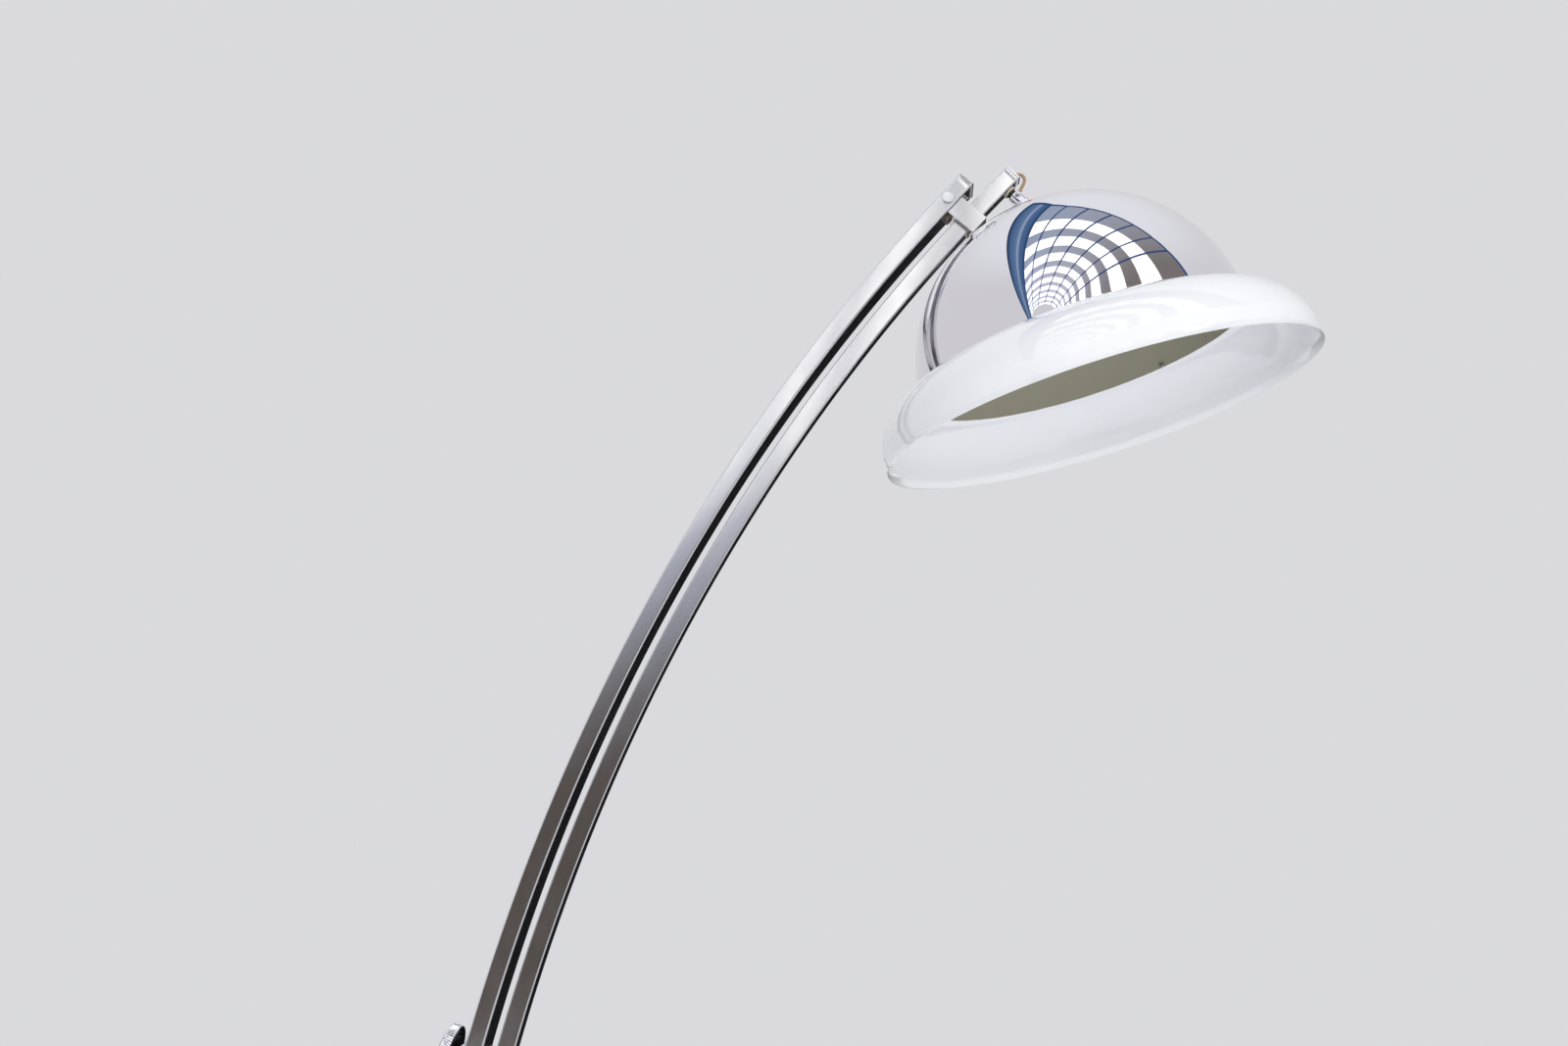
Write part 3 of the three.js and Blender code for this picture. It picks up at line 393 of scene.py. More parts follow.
def from_cad(node, name, radius=0.4 * MM, segments=2):
    """A piece of a CAD node's shape with its edges rounded, which stands for that node."""
    piece = bpy.data.objects.new(name, frame["nodes"][node].data.copy())
    bpy.context.scene.collection.objects.link(piece)
    piece.data.materials.clear()
    work = bmesh.new()
    work.from_mesh(piece.data)
    bmesh.ops.remove_doubles(work, verts=work.verts, dist=0.01 * MM)
    bmesh.ops.dissolve_limit(work, angle_limit=math.radians(1), verts=work.verts, edges=work.edges)
    for face in work.faces:
        face.smooth = True
    work.to_mesh(piece.data)
    work.free()
    if "custom_normal" in piece.data.attributes:
        piece.data.attributes.remove(piece.data.attributes["custom_normal"])
    soften(piece, radius, segments)
    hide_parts(node)
    return piece


def settle(piece, body, slot, *materials):
    """Gives a piece its materials and the body that it rides on. slot is not used."""
    piece.data.materials.clear()
    for material in materials:
        piece.data.materials.append(material)
    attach(piece, body)
    return piece


def on_cad(node, material):
    """Gives a CAD node that stays as it is a better material."""
    for slot in frame["nodes"][node].material_slots:
        slot.material = material


def bored(piece, name_of_tool, tool):
    """Cuts a tool's shape out of a piece, and removes the tool."""
    cut = piece.modifiers.new(name_of_tool, "BOOLEAN")
    cut.operation, cut.object, cut.solver = "DIFFERENCE", tool, "EXACT"
    plain_mesh(piece)
    bpy.data.objects.remove(tool)
    return piece


def pin(radius, start, end, place, sides=48):
    """A round bar from one height to another, as a tool to bore with."""
    return turned("pin", [(0, start), (radius, start), (radius, end), (0, end)], place, sides, on_axis=True)


def ground_steel(name, grain_along, roughest):
    """Stainless steel ground with a belt: satin, with fine scratches that run one way.
    grain_along turns the Object position into (along, across, across) for the scratches."""
    material, tree = new_material(name)
    position = add(tree, "ShaderNodeTexCoord").outputs["Object"]
    grain = grain_along(tree, position)
    scratches = add(tree, "ShaderNodeTexNoise", {"Vector": grain, "Scale": 1.0, "Detail": 2.0})
    handling = add(tree, "ShaderNodeTexNoise", {"Vector": position, "Scale": 22.0, "Detail": 4.0})
    satin = add(tree, "ShaderNodeMapRange",
                {"Value": scratches.outputs["Fac"], "From Min": 0.3, "From Max": 0.7,
                 "To Min": roughest - 0.03, "To Max": roughest})
    worn = add(tree, "ShaderNodeMapRange",
               {"Value": handling.outputs["Fac"], "From Min": 0.4, "From Max": 0.7,
                "To Min": -0.01, "To Max": 0.03})
    rough = add(tree, "ShaderNodeMath", {0: satin.outputs[0], 1: worn.outputs[0]})
    tone = blend(tree, scratches.outputs["Fac"], "dfdee0", "e7e6e8")
    relief = add(tree, "ShaderNodeBump",
                 {"Height": scratches.outputs["Fac"], "Strength": 0.02, "Distance": 0.0002})
    surface(tree, "ShaderNodeBsdfPrincipled",
            {"Base Color": tone, "Metallic": 1.0, "Roughness": rough.outputs[0],
             "Normal": relief.outputs["Normal"]})
    return material


def grained(name, dark, pale, grain, rough, relief, **shader):
    """A surface of two close colours with a fine relief, both from noise with grains of one size.
    grain and relief are lengths, rough is the lowest and highest roughness, and the rest are sockets
    of the shader by name."""
    material, tree = new_material(name)
    position = add(tree, "ShaderNodeTexCoord").outputs["Object"]
    grains = add(tree, "ShaderNodeTexNoise", {"Vector": position, "Scale": 1 / grain, "Detail": 3.0})
    clouds = add(tree, "ShaderNodeTexNoise", {"Vector": position, "Scale": 0.08 / grain, "Detail": 2.0})
    tone = blend(tree, clouds.outputs["Fac"], dark, pale)
    gloss = add(tree, "ShaderNodeMapRange",
                {"Value": grains.outputs["Fac"], "From Min": 0.3, "From Max": 0.7,
                 "To Min": rough[0], "To Max": rough[1]})
    bumps = add(tree, "ShaderNodeBump",
                {"Height": grains.outputs["Fac"], "Strength": 0.5, "Distance": relief})
    constants = {key.replace("_", " "): value for key, value in shader.items()}
    surface(tree, "ShaderNodeBsdfPrincipled",
            {"Base Color": tone, "Roughness": gloss.outputs[0], "Normal": bumps.outputs["Normal"],
             **constants})
    return material


def grain_round_the_base(tree, position):
    """The lathe's lines run in circles about the base's centre, 0.8 mm apart."""
    axes = add(tree, "ShaderNodeSeparateXYZ", {0: position})
    flat = add(tree, "ShaderNodeCombineXYZ", {"X": axes.outputs["X"], "Y": axes.outputs["Y"]})
    out = add(tree, "ShaderNodeVectorMath", {0: flat.outputs[0]}, operation="LENGTH")
    lines = add(tree, "ShaderNodeMath", {0: out.outputs["Value"], 1: lines_per_metre}, operation="MULTIPLY")
    levels = add(tree, "ShaderNodeMath", {0: axes.outputs["Z"], 1: lines_per_metre}, operation="MULTIPLY")
    return add(tree, "ShaderNodeCombineXYZ", {"X": lines.outputs[0], "Y": levels.outputs[0]}).outputs[0]


cover_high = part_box("base_cover")[1]
base_radius, base_height, pad_thickness = cover_high.x, cover_high.z, 4 * MM
cover_wall, cover_edge = 1.5 * MM, 8 * MM
gland_radius, gland_height, gland_bore, collar_radius = 7 * MM, 22 * MM, 3.8 * MM, 10 * MM

pad_edge = 1.2 * MM
pad = turned("felt_pad", [
    (0, 0), (base_radius - pad_edge, 0),
    *bow((base_radius - pad_edge, pad_edge), pad_edge, -90, 0, 4),
    *bow((base_radius - pad_edge, pad_thickness - pad_edge), pad_edge, 0, 90, 4), (0, pad_thickness),
], sides=160, on_axis=True)
# Pressed wool felt: dull, and broken up by fibres of about 0.5 mm.
felt = grained("pressed wool felt", "1d1d1e", "343436", 0.5 * MM, (0.9, 1.0), 0.4 * MM, Sheen_Weight=0.4)
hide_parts("base_pad")
settle(pad, "base", "felt", felt)

# Grey iron as cast in sand: rough and nearly black. The cover hides it.
cast_iron = grained("sand cast grey iron", "26272a", "3d3e42", 1.5 * MM, (0.55, 0.8), 0.5 * MM, Metallic=0.8)
on_cad("base_weight", cast_iron)

skirt_bottom = pad_thickness + gap
edge_centre = (base_radius - cover_edge, base_height - cover_edge)
cover = turned("base_cover_shell", [
    (0, base_height - cover_wall),
    *bow(edge_centre, cover_edge - cover_wall, 90, 0, 12),
    (base_radius - cover_wall, skirt_bottom), (base_radius, skirt_bottom),
    *bow(edge_centre, cover_edge, 0, 90, 14), (0, base_height),
], sides=240, on_axis=True)
gland_place = (Matrix.Translation((-base_radius - gap, 0, gland_height))
               @ Matrix.Rotation(-math.pi / 2, 4, "Y"))
bored(cover, "gland hole", pin(gland_radius + gap, -9 * MM, 9 * MM, gland_place))
spun_steel = ground_steel("spun stainless steel with lathe lines", grain_round_the_base, 0.33)
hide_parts("base_cover")
settle(cover, "base", "brushed_tube", spun_steel)

gland = turned("cord_gland_bush", [
    (gland_bore + 0.8 * MM, 4 * MM), *bow((gland_bore + 0.8 * MM, 3.2 * MM), 0.8 * MM, 90, 180, 4),
    (gland_bore, -15 * MM), (gland_radius - 1 * MM, -15 * MM), (gland_radius, -14 * MM), (gland_radius, 0),
    (collar_radius, 0), (collar_radius, 2.6 * MM),
    *bow((collar_radius - 1.4 * MM, 2.6 * MM), 1.4 * MM, 0, 90, 5),
], gland_place, sides=64)
# Moulded nylon with a spark-eroded mould surface: grains of about 0.4 mm, half matt.
black_plastic = grained("black moulded nylon", "0f0f10", "1a1a1b", 0.4 * MM, (0.36, 0.5), 0.05 * MM)
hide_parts("cord_gland")
settle(gland, "base", "black_plastic", black_plastic)

# ---- Mast socket ----
# A square plate with a short box welded on it takes the leg of the main arm. Four socket screws
# hold it to the iron disc through the cover, and a grub screw at the back locks the leg.
screw_hex, screw_head, screw_shank, screw_length = 2 * MM, 6 * MM, 3 * MM, 22 * MM
plate_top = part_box("foot_screw_1")[0].z + screw_length
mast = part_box("mast_socket")
mast_x = (mast[0].x + mast[1].x) / 2
plate_size, screw_inset, head_rise = mast[1].x - mast[0].x, 12 * MM, 3.5 * MM


def give(tree, name, kind):
    """A named input of a Geometry Nodes tree."""
    tree.interface.new_socket(name=name, in_out="INPUT", socket_type=kind)


def ring_of_pieces_nodes():
    """Copies of a piece at even steps round a circle about +Z, each turned to face outwards."""
    tree = bpy.data.node_groups.new("ring of pieces", "GeometryNodeTree")
    tree.interface.new_socket(name="Geometry", in_out="OUTPUT", socket_type="NodeSocketGeometry")
    give(tree, "Piece", "NodeSocketObject")
    give(tree, "Count", "NodeSocketInt")
    for name in ("Radius", "First angle"):
        give(tree, name, "NodeSocketFloat")
    give(tree, "Finish", "NodeSocketMaterial")
    size = add(tree, "NodeGroupInput").outputs
    circle = add(tree, "GeometryNodeMeshCircle", {"Vertices": size["Count"], "Radius": size["Radius"]})
    start = add(tree, "ShaderNodeCombineXYZ", {"Z": size["First angle"]})
    spun = add(tree, "GeometryNodeTransform", {"Geometry": circle.outputs[0], "Rotation": start.outputs[0]})
    index = add(tree, "GeometryNodeInputIndex").outputs[0]
    step = add(tree, "ShaderNodeMath", {0: 2 * math.pi, 1: size["Count"]}, operation="DIVIDE")
    angle = add(tree, "ShaderNodeMath",
                {0: index, 1: step.outputs[0], 2: size["First angle"]}, operation="MULTIPLY_ADD")
    facing = add(tree, "ShaderNodeCombineXYZ", {"Z": angle.outputs[0]})
    piece = add(tree, "GeometryNodeObjectInfo", {"Object": size["Piece"]})
    copies = add(tree, "GeometryNodeInstanceOnPoints",
                 {"Points": spun.outputs[0], "Instance": piece.outputs["Geometry"],
                  "Rotation": facing.outputs[0]})
    real = add(tree, "GeometryNodeRealizeInstances", {0: copies.outputs[0]})
    painted = add(tree, "GeometryNodeSetMaterial", {"Geometry": real.outputs[0], "Material": size["Finish"]})
    add(tree, "NodeGroupOutput", {0: painted.outputs[0]})
    return tree


ring_of_pieces = ring_of_pieces_nodes()


def in_a_ring(name, piece, count, radius, first_angle, finish, place):
    """A plain mesh of copies of a piece in a ring, put in place. The piece itself is removed."""
    copies = with_nodes(name, ring_of_pieces, Piece=piece, Count=count, Radius=radius,
                        First_angle=first_angle, Finish=finish)
    bpy.data.objects.remove(piece)
    copies.data.transform(place)
    return copies


# Zinc plate with a clear blue passivate: greyish silver, cloudy over about 8 mm.
zinc = grained("blue passivated zinc plate", "a2a6ab", "b9bcbd", 0.6 * MM, (0.28, 0.42), 0.02 * MM,
               Metallic=1.0)
foot_screw = turned("foot_screw", [
    (0, -screw_length), (screw_shank - 0.6 * MM, -screw_length), (screw_shank, -screw_length + 0.6 * MM),
    (screw_shank, 0), (screw_head, 0), (screw_head, head_rise - 0.8 * MM),
    *bow((screw_head - 0.8 * MM, head_rise - 0.8 * MM), 0.8 * MM, 30, 90, 3),
    (screw_hex + 0.4 * MM, head_rise), (screw_hex, head_rise - 0.2 * MM, 6),
    (screw_hex, head_rise - 2.4 * MM, 6), (0, head_rise - 2.6 * MM),
], sides=48, on_axis=True, sharp=30)
foot_screws = in_a_ring(
    "foot_screws", foot_screw, 4, (plate_size / 2 - screw_inset) * math.sqrt(2), math.pi / 4, zinc,
    Matrix.Translation((mast_x, 0, plate_top)))
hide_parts("foot_screw_1", "foot_screw_2", "foot_screw_3", "foot_screw_4")
settle(foot_screws, "base", "zinc_plated_steel", zinc)


def grain_upright(tree, position):
    """Scratches run up and down, 0.8 mm apart."""
    return add(tree, "ShaderNodeVectorMath",
               {0: position, 1: (lines_per_metre, lines_per_metre, 25.0)}, operation="MULTIPLY").outputs[0]


upright_steel = ground_steel("belt ground stainless steel plate", grain_upright, 0.25)
settle(from_cad("mast_socket", "mast_socket_weldment", 1.0 * MM, 3), "base", "brushed_tube", upright_steel)
lock_screw = from_cad("mast_lock_screw", "mast_lock_grub_screw", 0.15 * MM)
settle(lock_screw, "base", "zinc_plated_steel", zinc)

# ---- Main arm ----
# Stainless box tube, 40 by 20 mm with a 1.5 mm wall, bent to an arc above an upright leg.
# It is belt ground along its length, so it reflects in soft bands across the tube.
arc_centre = Vector(joints["arm_extend"]["pos_m"])
main_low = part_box("main_arm")[0]
main_depth, main_width, tube_wall, tube_corner = 20 * MM, 40 * MM, 1.5 * MM, 2.2 * MM
main_radius = arc_centre.x - main_low.x - main_depth / 2
main_end = math.radians(44.1)


def bent_tube_nodes():
    """A box tube swept along an upright leg and then an arc that leans towards +X."""
    tree = bpy.data.node_groups.new("bent box tube", "GeometryNodeTree")
    tree.interface.new_socket(name="Geometry", in_out="OUTPUT", socket_type="NodeSocketGeometry")
    for name in ("Radius", "Start angle", "Leg", "Length", "Depth", "Width", "Corner"):
        give(tree, name, "NodeSocketFloat")
    give(tree, "Centre", "NodeSocketVector")
    give(tree, "Steps", "NodeSocketInt")
    give(tree, "Finish", "NodeSocketMaterial")
    size = add(tree, "NodeGroupInput").outputs

    def calc(operation, a, b=0.0):
        return add(tree, "ShaderNodeMath", {0: a, 1: b}, operation=operation).outputs[0]

    line = add(tree, "GeometryNodeMeshLine", {"Count": calc("ADD", size["Steps"], 1.0)})
    index = add(tree, "GeometryNodeInputIndex").outputs[0]
    travelled = calc("MULTIPLY", calc("DIVIDE", index, size["Steps"]), size["Length"])
    past_leg = calc("SUBTRACT", travelled, size["Leg"])
    angle = calc("ADD", size["Start angle"], calc("DIVIDE", calc("MAXIMUM", past_leg), size["Radius"]))
    back = calc("MULTIPLY", calc("MULTIPLY", calc("COSINE", angle), size["Radius"]), -1.0)
    up = calc("ADD", calc("MULTIPLY", calc("SINE", angle), size["Radius"]), calc("MINIMUM", past_leg))
    offset = add(tree, "ShaderNodeCombineXYZ", {"X": back, "Z": up})
    place = add(tree, "ShaderNodeVectorMath", {0: offset.outputs[0], 1: size["Centre"]}, operation="ADD")
    bent = add(tree, "GeometryNodeSetPosition", {"Geometry": line.outputs[0], "Position": place.outputs[0]})
    path = add(tree, "GeometryNodeMeshToCurve", {0: bent.outputs[0]})
    level = add(tree, "GeometryNodeSetCurveNormal", {0: path.outputs[0], "Normal": (0, 1, 0)}, mode="FREE")
    box = add(tree, "GeometryNodeCurvePrimitiveQuadrilateral",
              {"Width": size["Width"], "Height": size["Depth"]})
    section = add(tree, "GeometryNodeFilletCurve",
                  {"Curve": box.outputs[0], "Radius": size["Corner"], "Count": 4}, mode="POLY")
    swept = add(tree, "GeometryNodeCurveToMesh",
                {"Curve": level.outputs[0], "Profile Curve": section.outputs[0]})
    smooth = add(tree, "GeometryNodeSetShadeSmooth", {0: swept.outputs[0]})
    real = add(tree, "GeometryNodeRealizeInstances", {0: smooth.outputs[0]})
    painted = add(tree, "GeometryNodeSetMaterial", {"Geometry": real.outputs[0], "Material": size["Finish"]})
    add(tree, "NodeGroupOutput", {0: painted.outputs[0]})
    return tree


def walled(tube):
    """Gives a swept tube its wall, and makes the result its plain mesh."""
    wall = tube.modifiers.new("wall", "SOLIDIFY")
    wall.thickness, wall.offset = tube_wall, -1
    tube.modifiers.new("flats", "WEIGHTED_NORMAL")
    plain_mesh(tube)


def grain_round_the_arc(tree, position):
    """Scratches follow the arc: the position in turns about the arc's centre, lines 0.8 mm apart."""
    off = add(tree, "ShaderNodeVectorMath", {0: position, 1: arc_centre}, operation="SUBTRACT")
    axes = add(tree, "ShaderNodeSeparateXYZ", {0: off.outputs[0]})
    flat = add(tree, "ShaderNodeCombineXYZ", {"X": axes.outputs["X"], "Z": axes.outputs["Z"]})
    radius = add(tree, "ShaderNodeVectorMath", {0: flat.outputs[0]}, operation="LENGTH")
    angle = add(tree, "ShaderNodeMath", {0: axes.outputs["Z"], 1: axes.outputs["X"]}, operation="ARCTAN2")
    along = add(tree, "ShaderNodeMath", {0: angle.outputs[0], 1: 55.0}, operation="MULTIPLY")
    inward = add(tree, "ShaderNodeMath",
                 {0: radius.outputs["Value"], 1: lines_per_metre}, operation="MULTIPLY")
    across = add(tree, "ShaderNodeMath", {0: axes.outputs["Y"], 1: lines_per_metre}, operation="MULTIPLY")
    return add(tree, "ShaderNodeCombineXYZ",
               {0: along.outputs[0], 1: inward.outputs[0], 2: across.outputs[0]}).outputs[0]


tube_steel = ground_steel("belt ground stainless steel tube", grain_round_the_arc, 0.17)
bent_tube = bent_tube_nodes()
main_leg = arc_centre.z - main_low.z
main_arm = with_nodes(
    "main_arm_tube", bent_tube, Radius=main_radius, Start_angle=0.0, Leg=main_leg,
    Length=main_leg + main_radius * main_end, Depth=main_depth, Width=main_width, Corner=tube_corner,
    Centre=arc_centre, Steps=220, Finish=tube_steel)
walled(main_arm)
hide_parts("main_arm")
settle(main_arm, "base", "brushed_tube", tube_steel)
settle(from_cad("main_arm_end_cap", "main_arm_end_plate", 0.6 * MM), "base", "brushed_tube", tube_steel)

# ---- Upper sleeve ----
# A square collar milled from stainless bar, lined with nylon, that guides the sliding arm. It is
# held to the main arm by a bolt with two button caps, and by a spacer with a screw above it.
sleeve_below_end = 30.8 * MM
upper_sleeve_angle = main_end - sleeve_below_end / main_radius


def arc_place(angle, radius):
    """A place on the arc: +Z runs up along the tubes and +X points to the arc's centre."""
    offset = Vector((-radius * math.cos(angle), 0, radius * math.sin(angle)))
    return Matrix.Translation(arc_centre + offset) @ Matrix.Rotation(angle, 4, "Y")


settle(from_cad("upper_sleeve", "upper_guide_sleeve", 0.7 * MM), "base", "brushed_tube", tube_steel)
# Natural cast nylon: cream, waxy, and a little see-through.
nylon = grained("natural cast nylon", "cfc5ae", "e0d8c4", 0.8 * MM, (0.35, 0.5), 0.03 * MM,
                Subsurface_Weight=0.3, Subsurface_Scale=0.002)
settle(from_cad("upper_sleeve_liner", "upper_nylon_liner", 0.2 * MM), "base", "nylon", nylon)
# The spacer is nylon too, in a darker brown.
darker_brown_nylon = grained("darker brown nylon", "7d6f5f", "9c8d79", 0.8 * MM, (0.4, 0.55), 0.03 * MM)
settle(from_cad("upper_spacer", "upper_spacer_block", 0.5 * MM), "base", "nylon", darker_brown_nylon)
settle(from_cad("spacer_screw", "spacer_hex_screw", 0.4 * MM, 3), "base", "zinc_plated_steel", zinc)
on_cad("cross_bolt", zinc)

button_radius, button_rise, button_edge = 7 * MM, 3 * MM, 1.1 * MM
bolt_radius, bolt_overhang = 3 * MM, 1 * MM
button_outline = [
    (0, bolt_overhang + gap), (bolt_radius + gap, bolt_overhang + gap), (bolt_radius + gap, 0),
    (button_radius - 0.5 * MM, 0), (button_radius, 0.5 * MM),
    (button_radius, button_rise - button_edge - 0.4 * MM),
    *bow((button_radius - button_edge, button_rise - button_edge - 0.4 * MM), button_edge, 10, 90, 6),
    (button_radius * 0.45, button_rise - 0.1 * MM), (0, button_rise)]

# Stainless steel faced on a lathe and bead blasted: bright and softly satin.
button_steel = grained("faced stainless steel", "ededee", "f6f6f7", 0.5 * MM, (0.34, 0.42), 0.01 * MM,
                       Metallic=1.0)
for side, name in ((-1, "front"), (1, "rear")):
    button_place = (arc_place(upper_sleeve_angle, main_radius)
                    @ Matrix.Translation((0, side * (main_width / 2 + gap), 0))
                    @ Matrix.Rotation(-side * math.pi / 2, 4, "X"))
    button = turned(f"button_cap_{name}", button_outline, button_place, sides=64, on_axis=True, sharp=50)
    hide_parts(f"cross_bolt_cap_{name}")
    settle(button, "base", "chrome_plate", button_steel)

# ---- Sliding arm ----
# The lighter tube, 20 mm square, that runs on the same arc inside the main one.
slide_size = 20 * MM
slide_gap = 12 * MM
slide_radius = main_radius - main_depth / 2 - slide_gap - slide_size / 2
slide_start, slide_end = math.radians(14.35), math.radians(45.26)
sliding_arm = with_nodes(
    "sliding_arm_tube", bent_tube, Radius=slide_radius, Start_angle=slide_start, Leg=0.0,
    Length=slide_radius * (slide_end - slide_start), Depth=slide_size, Width=slide_size,
    Corner=tube_corner * 0.8, Centre=arc_centre, Steps=160, Finish=tube_steel)
walled(sliding_arm)
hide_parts("sliding_arm")
settle(sliding_arm, "arm", "brushed_tube", tube_steel)
settle(from_cad("sliding_arm_end_cap", "sliding_arm_end_plate", 0.6 * MM), "arm", "brushed_tube", tube_steel)
foot_plug = from_cad("sliding_arm_foot_cap", "sliding_arm_foot_plug", 0.8 * MM, 3)
settle(foot_plug, "arm", "black_plastic", black_plastic)

# ---- Lower clamp ----
# The lower collar is fixed to the sliding arm and runs on the main arm. Its knob drives a spindle
# against the liner, which pinches the arm at the length that the user has set.
sleeve_above_foot, sleeve_margin = 13.6 * MM, 7 * MM
lower_sleeve_angle = slide_start + sleeve_above_foot / main_radius
lower_place = arc_place(lower_sleeve_angle, main_radius)
sleeve_outside = main_depth / 2 + sleeve_margin
settle(from_cad("lower_sleeve", "lower_clamp_sleeve", 0.7 * MM), "arm", "brushed_tube", tube_steel)
settle(from_cad("lower_sleeve_liner", "lower_nylon_liner", 0.2 * MM), "arm", "nylon", nylon)
settle(from_cad("lower_spacer", "lower_spacer_block", 0.5 * MM), "arm", "brushed_tube", tube_steel)

knob_radius, knob_thickness, knob_band, knob_stand_off = 29 * MM, 13 * MM, 2.5 * MM, 6 * MM
spindle_radius, spindle_reach = 4 * MM, 12.3 * MM  # reach into the sleeve from outside
knob_place = (lower_place @ Matrix.Translation((-sleeve_outside - knob_stand_off, 0, 0))
              @ Matrix.Rotation(-math.pi / 2, 4, "Y"))
spindle_top = -knob_stand_off - sleeve_outside + spindle_reach
spindle_groove, spindle_pitch = 0.45 * MM, 1.25 * MM
spindle_outline = [(0, spindle_top)]
height = spindle_top
while height < -1.5 * MM:
    spindle_outline += [(spindle_radius - spindle_groove, height),
                        (spindle_radius, height + spindle_pitch / 2)]
    height += spindle_pitch
spindle_outline += [(spindle_radius, 0), (spindle_radius, knob_thickness / 2), (0, knob_thickness / 2)]
spindle = turned("clamp_spindle_rod", spindle_outline, knob_place, sides=48, on_axis=True, sharp=50)
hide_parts("clamp_spindle")
settle(spindle, "clamp_knob", "zinc_plated_steel", zinc)

core_radius = knob_radius - knob_band - gap
core_bore = spindle_radius + gap
knob = turned("clamp_knob_core", [
    (0, knob_thickness / 2 + gap), (core_bore, knob_thickness / 2 + gap), (core_bore, 0.4 * MM),
    (core_bore + 0.4 * MM, 0), (core_radius - 1 * MM, 0), (core_radius, 1 * MM),
    (core_radius, knob_thickness - 1.2 * MM),
    *bow((core_radius - 1.5 * MM, knob_thickness - 1.2 * MM), 1.5 * MM, 10, 80, 4),
    (core_radius - 5 * MM, knob_thickness + 1.2 * MM), (core_radius * 0.7, knob_thickness + 2.2 * MM),
    (core_radius * 0.4, knob_thickness + 3.1 * MM), (0, knob_thickness + 3.5 * MM),
], knob_place, sides=96, on_axis=True)
# Phenolic moulding: black, with a polished skin.
phenolic = grained("black phenolic moulding", "0c0c0d", "141415", 3 * MM, (0.12, 0.2), 0.02 * MM)
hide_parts("clamp_knob")
settle(knob, "clamp_knob", "black_plastic", phenolic)

knurl_rise, knurl_count, band_edge = 0.5 * MM, 90, 0.8 * MM
band_radius = knob_radius - knurl_rise
band_low, band_high = 1 * MM, knob_thickness - 1 * MM
band = turned("clamp_knob_ring", [
    (band_radius - knob_band + knurl_rise, band_low), (band_radius - band_edge, band_low),
    *bow((band_radius - band_edge, band_low + band_edge), band_edge, -80, 0, 4),
    *bow((band_radius - band_edge, band_high - band_edge), band_edge, 0, 80, 4),
    (band_radius - band_edge, band_high), (band_radius - knob_band + knurl_rise, band_high),
], knob_place, sides=180)
knurl_half, knurl_foot, knurl_inset, crest_inset = 0.7 * MM, -0.3 * MM, 1.6 * MM, 2.2 * MM
knurl = mesh_object("knurl", [
    (knurl_foot, -knurl_half, band_low + knurl_inset), (knurl_foot, knurl_half, band_low + knurl_inset),
    (knurl_rise, 0, band_low + crest_inset), (knurl_foot, -knurl_half, band_high - knurl_inset),
    (knurl_foot, knurl_half, band_high - knurl_inset), (knurl_rise, 0, band_high - crest_inset),
], [[0, 1, 2], [5, 4, 3], [0, 3, 4, 1], [1, 4, 5, 2], [2, 5, 3, 0]])


def chrome_plate(name):
    """Polished chrome over nickel: a cool mirror with a trace of haze from wiping."""
    material, tree = new_material(name)
    position = add(tree, "ShaderNodeTexCoord").outputs["Object"]
    polish = add(tree, "ShaderNodeTexNoise", {"Vector": position, "Scale": 9.0, "Detail": 2.0})
    wiping = add(tree, "ShaderNodeTexNoise", {"Vector": position, "Scale": 420.0, "Detail": 2.0})
    haze = add(tree, "ShaderNodeMapRange",
               {"Value": wiping.outputs["Fac"], "From Min": 0.55, "From Max": 0.75,
                "To Min": 0.02, "To Max": 0.06})
    ripple = add(tree, "ShaderNodeBump",
                 {"Height": polish.outputs["Fac"], "Strength": 0.10, "Distance": 0.002})
    surface(tree, "ShaderNodeBsdfPrincipled",
            {"Base Color": linear("edebee"), "Metallic": 1.0, "Roughness": haze.outputs[0],
             "Normal": ripple.outputs["Normal"]})
    return material


chrome = chrome_plate("polished chrome plate on steel")
knurls = in_a_ring("clamp_knob_knurls", knurl, knurl_count, band_radius, 0.0, chrome, knob_place)
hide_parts("clamp_knob_band")
settle(band, "clamp_knob", "chrome_plate", chrome)
settle(knurls, "clamp_knob", "chrome_plate", chrome)

# ---- Swivel ----
# A stud hangs from the end of the sliding arm, through a nylon washer and a black lock nut, and
# carries a chromed ball in a chromed cup. The lamp's lead runs out of the arm and into the cup.
slide_inner = slide_radius - slide_size / 2
swivel_from_end = 16.06 * MM
swivel_place = arc_place(slide_end - swivel_from_end / slide_inner, slide_inner)
down_the_stud = swivel_place @ Matrix.Rotation(math.pi / 2, 4, "Y")
ball_radius, ball_clearance, swivel_drop = 13 * MM, 0.5 * MM, 42 * MM
stud_radius, nut_corner, neck_radius, neck_top = 3 * MM, 6 * MM, 5.5 * MM, 20 * MM
washer_radius, washer_thickness = 8 * MM, 3 * MM
cup_top, cup_radius, cup_mouth_radius, cup_wall = 8 * MM, 9 * MM, 11 * MM, 1.2 * MM
cup_above_ball = 14 * MM
cup_mouth = swivel_drop - cup_above_ball
cup_waist = (cup_top + cup_mouth) / 2
cup_screw_radius, cup_screw_at = 2 * MM, cup_top + 5 * MM

stud_top, stud_end = -7.4 * MM, neck_top + 4 * MM
stud = turned("swivel_stud_rod", [
    (0, stud_top), (stud_radius - 0.5 * MM, stud_top), (stud_radius, stud_top + 0.5 * MM),
    (stud_radius, stud_end - 0.5 * MM), (stud_radius - 0.5 * MM, stud_end), (0, stud_end),
], down_the_stud, sides=48, on_axis=True)
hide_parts("swivel_stud")
settle(stud, "arm", "zinc_plated_steel", zinc)
on_cad("swivel_nut", zinc)

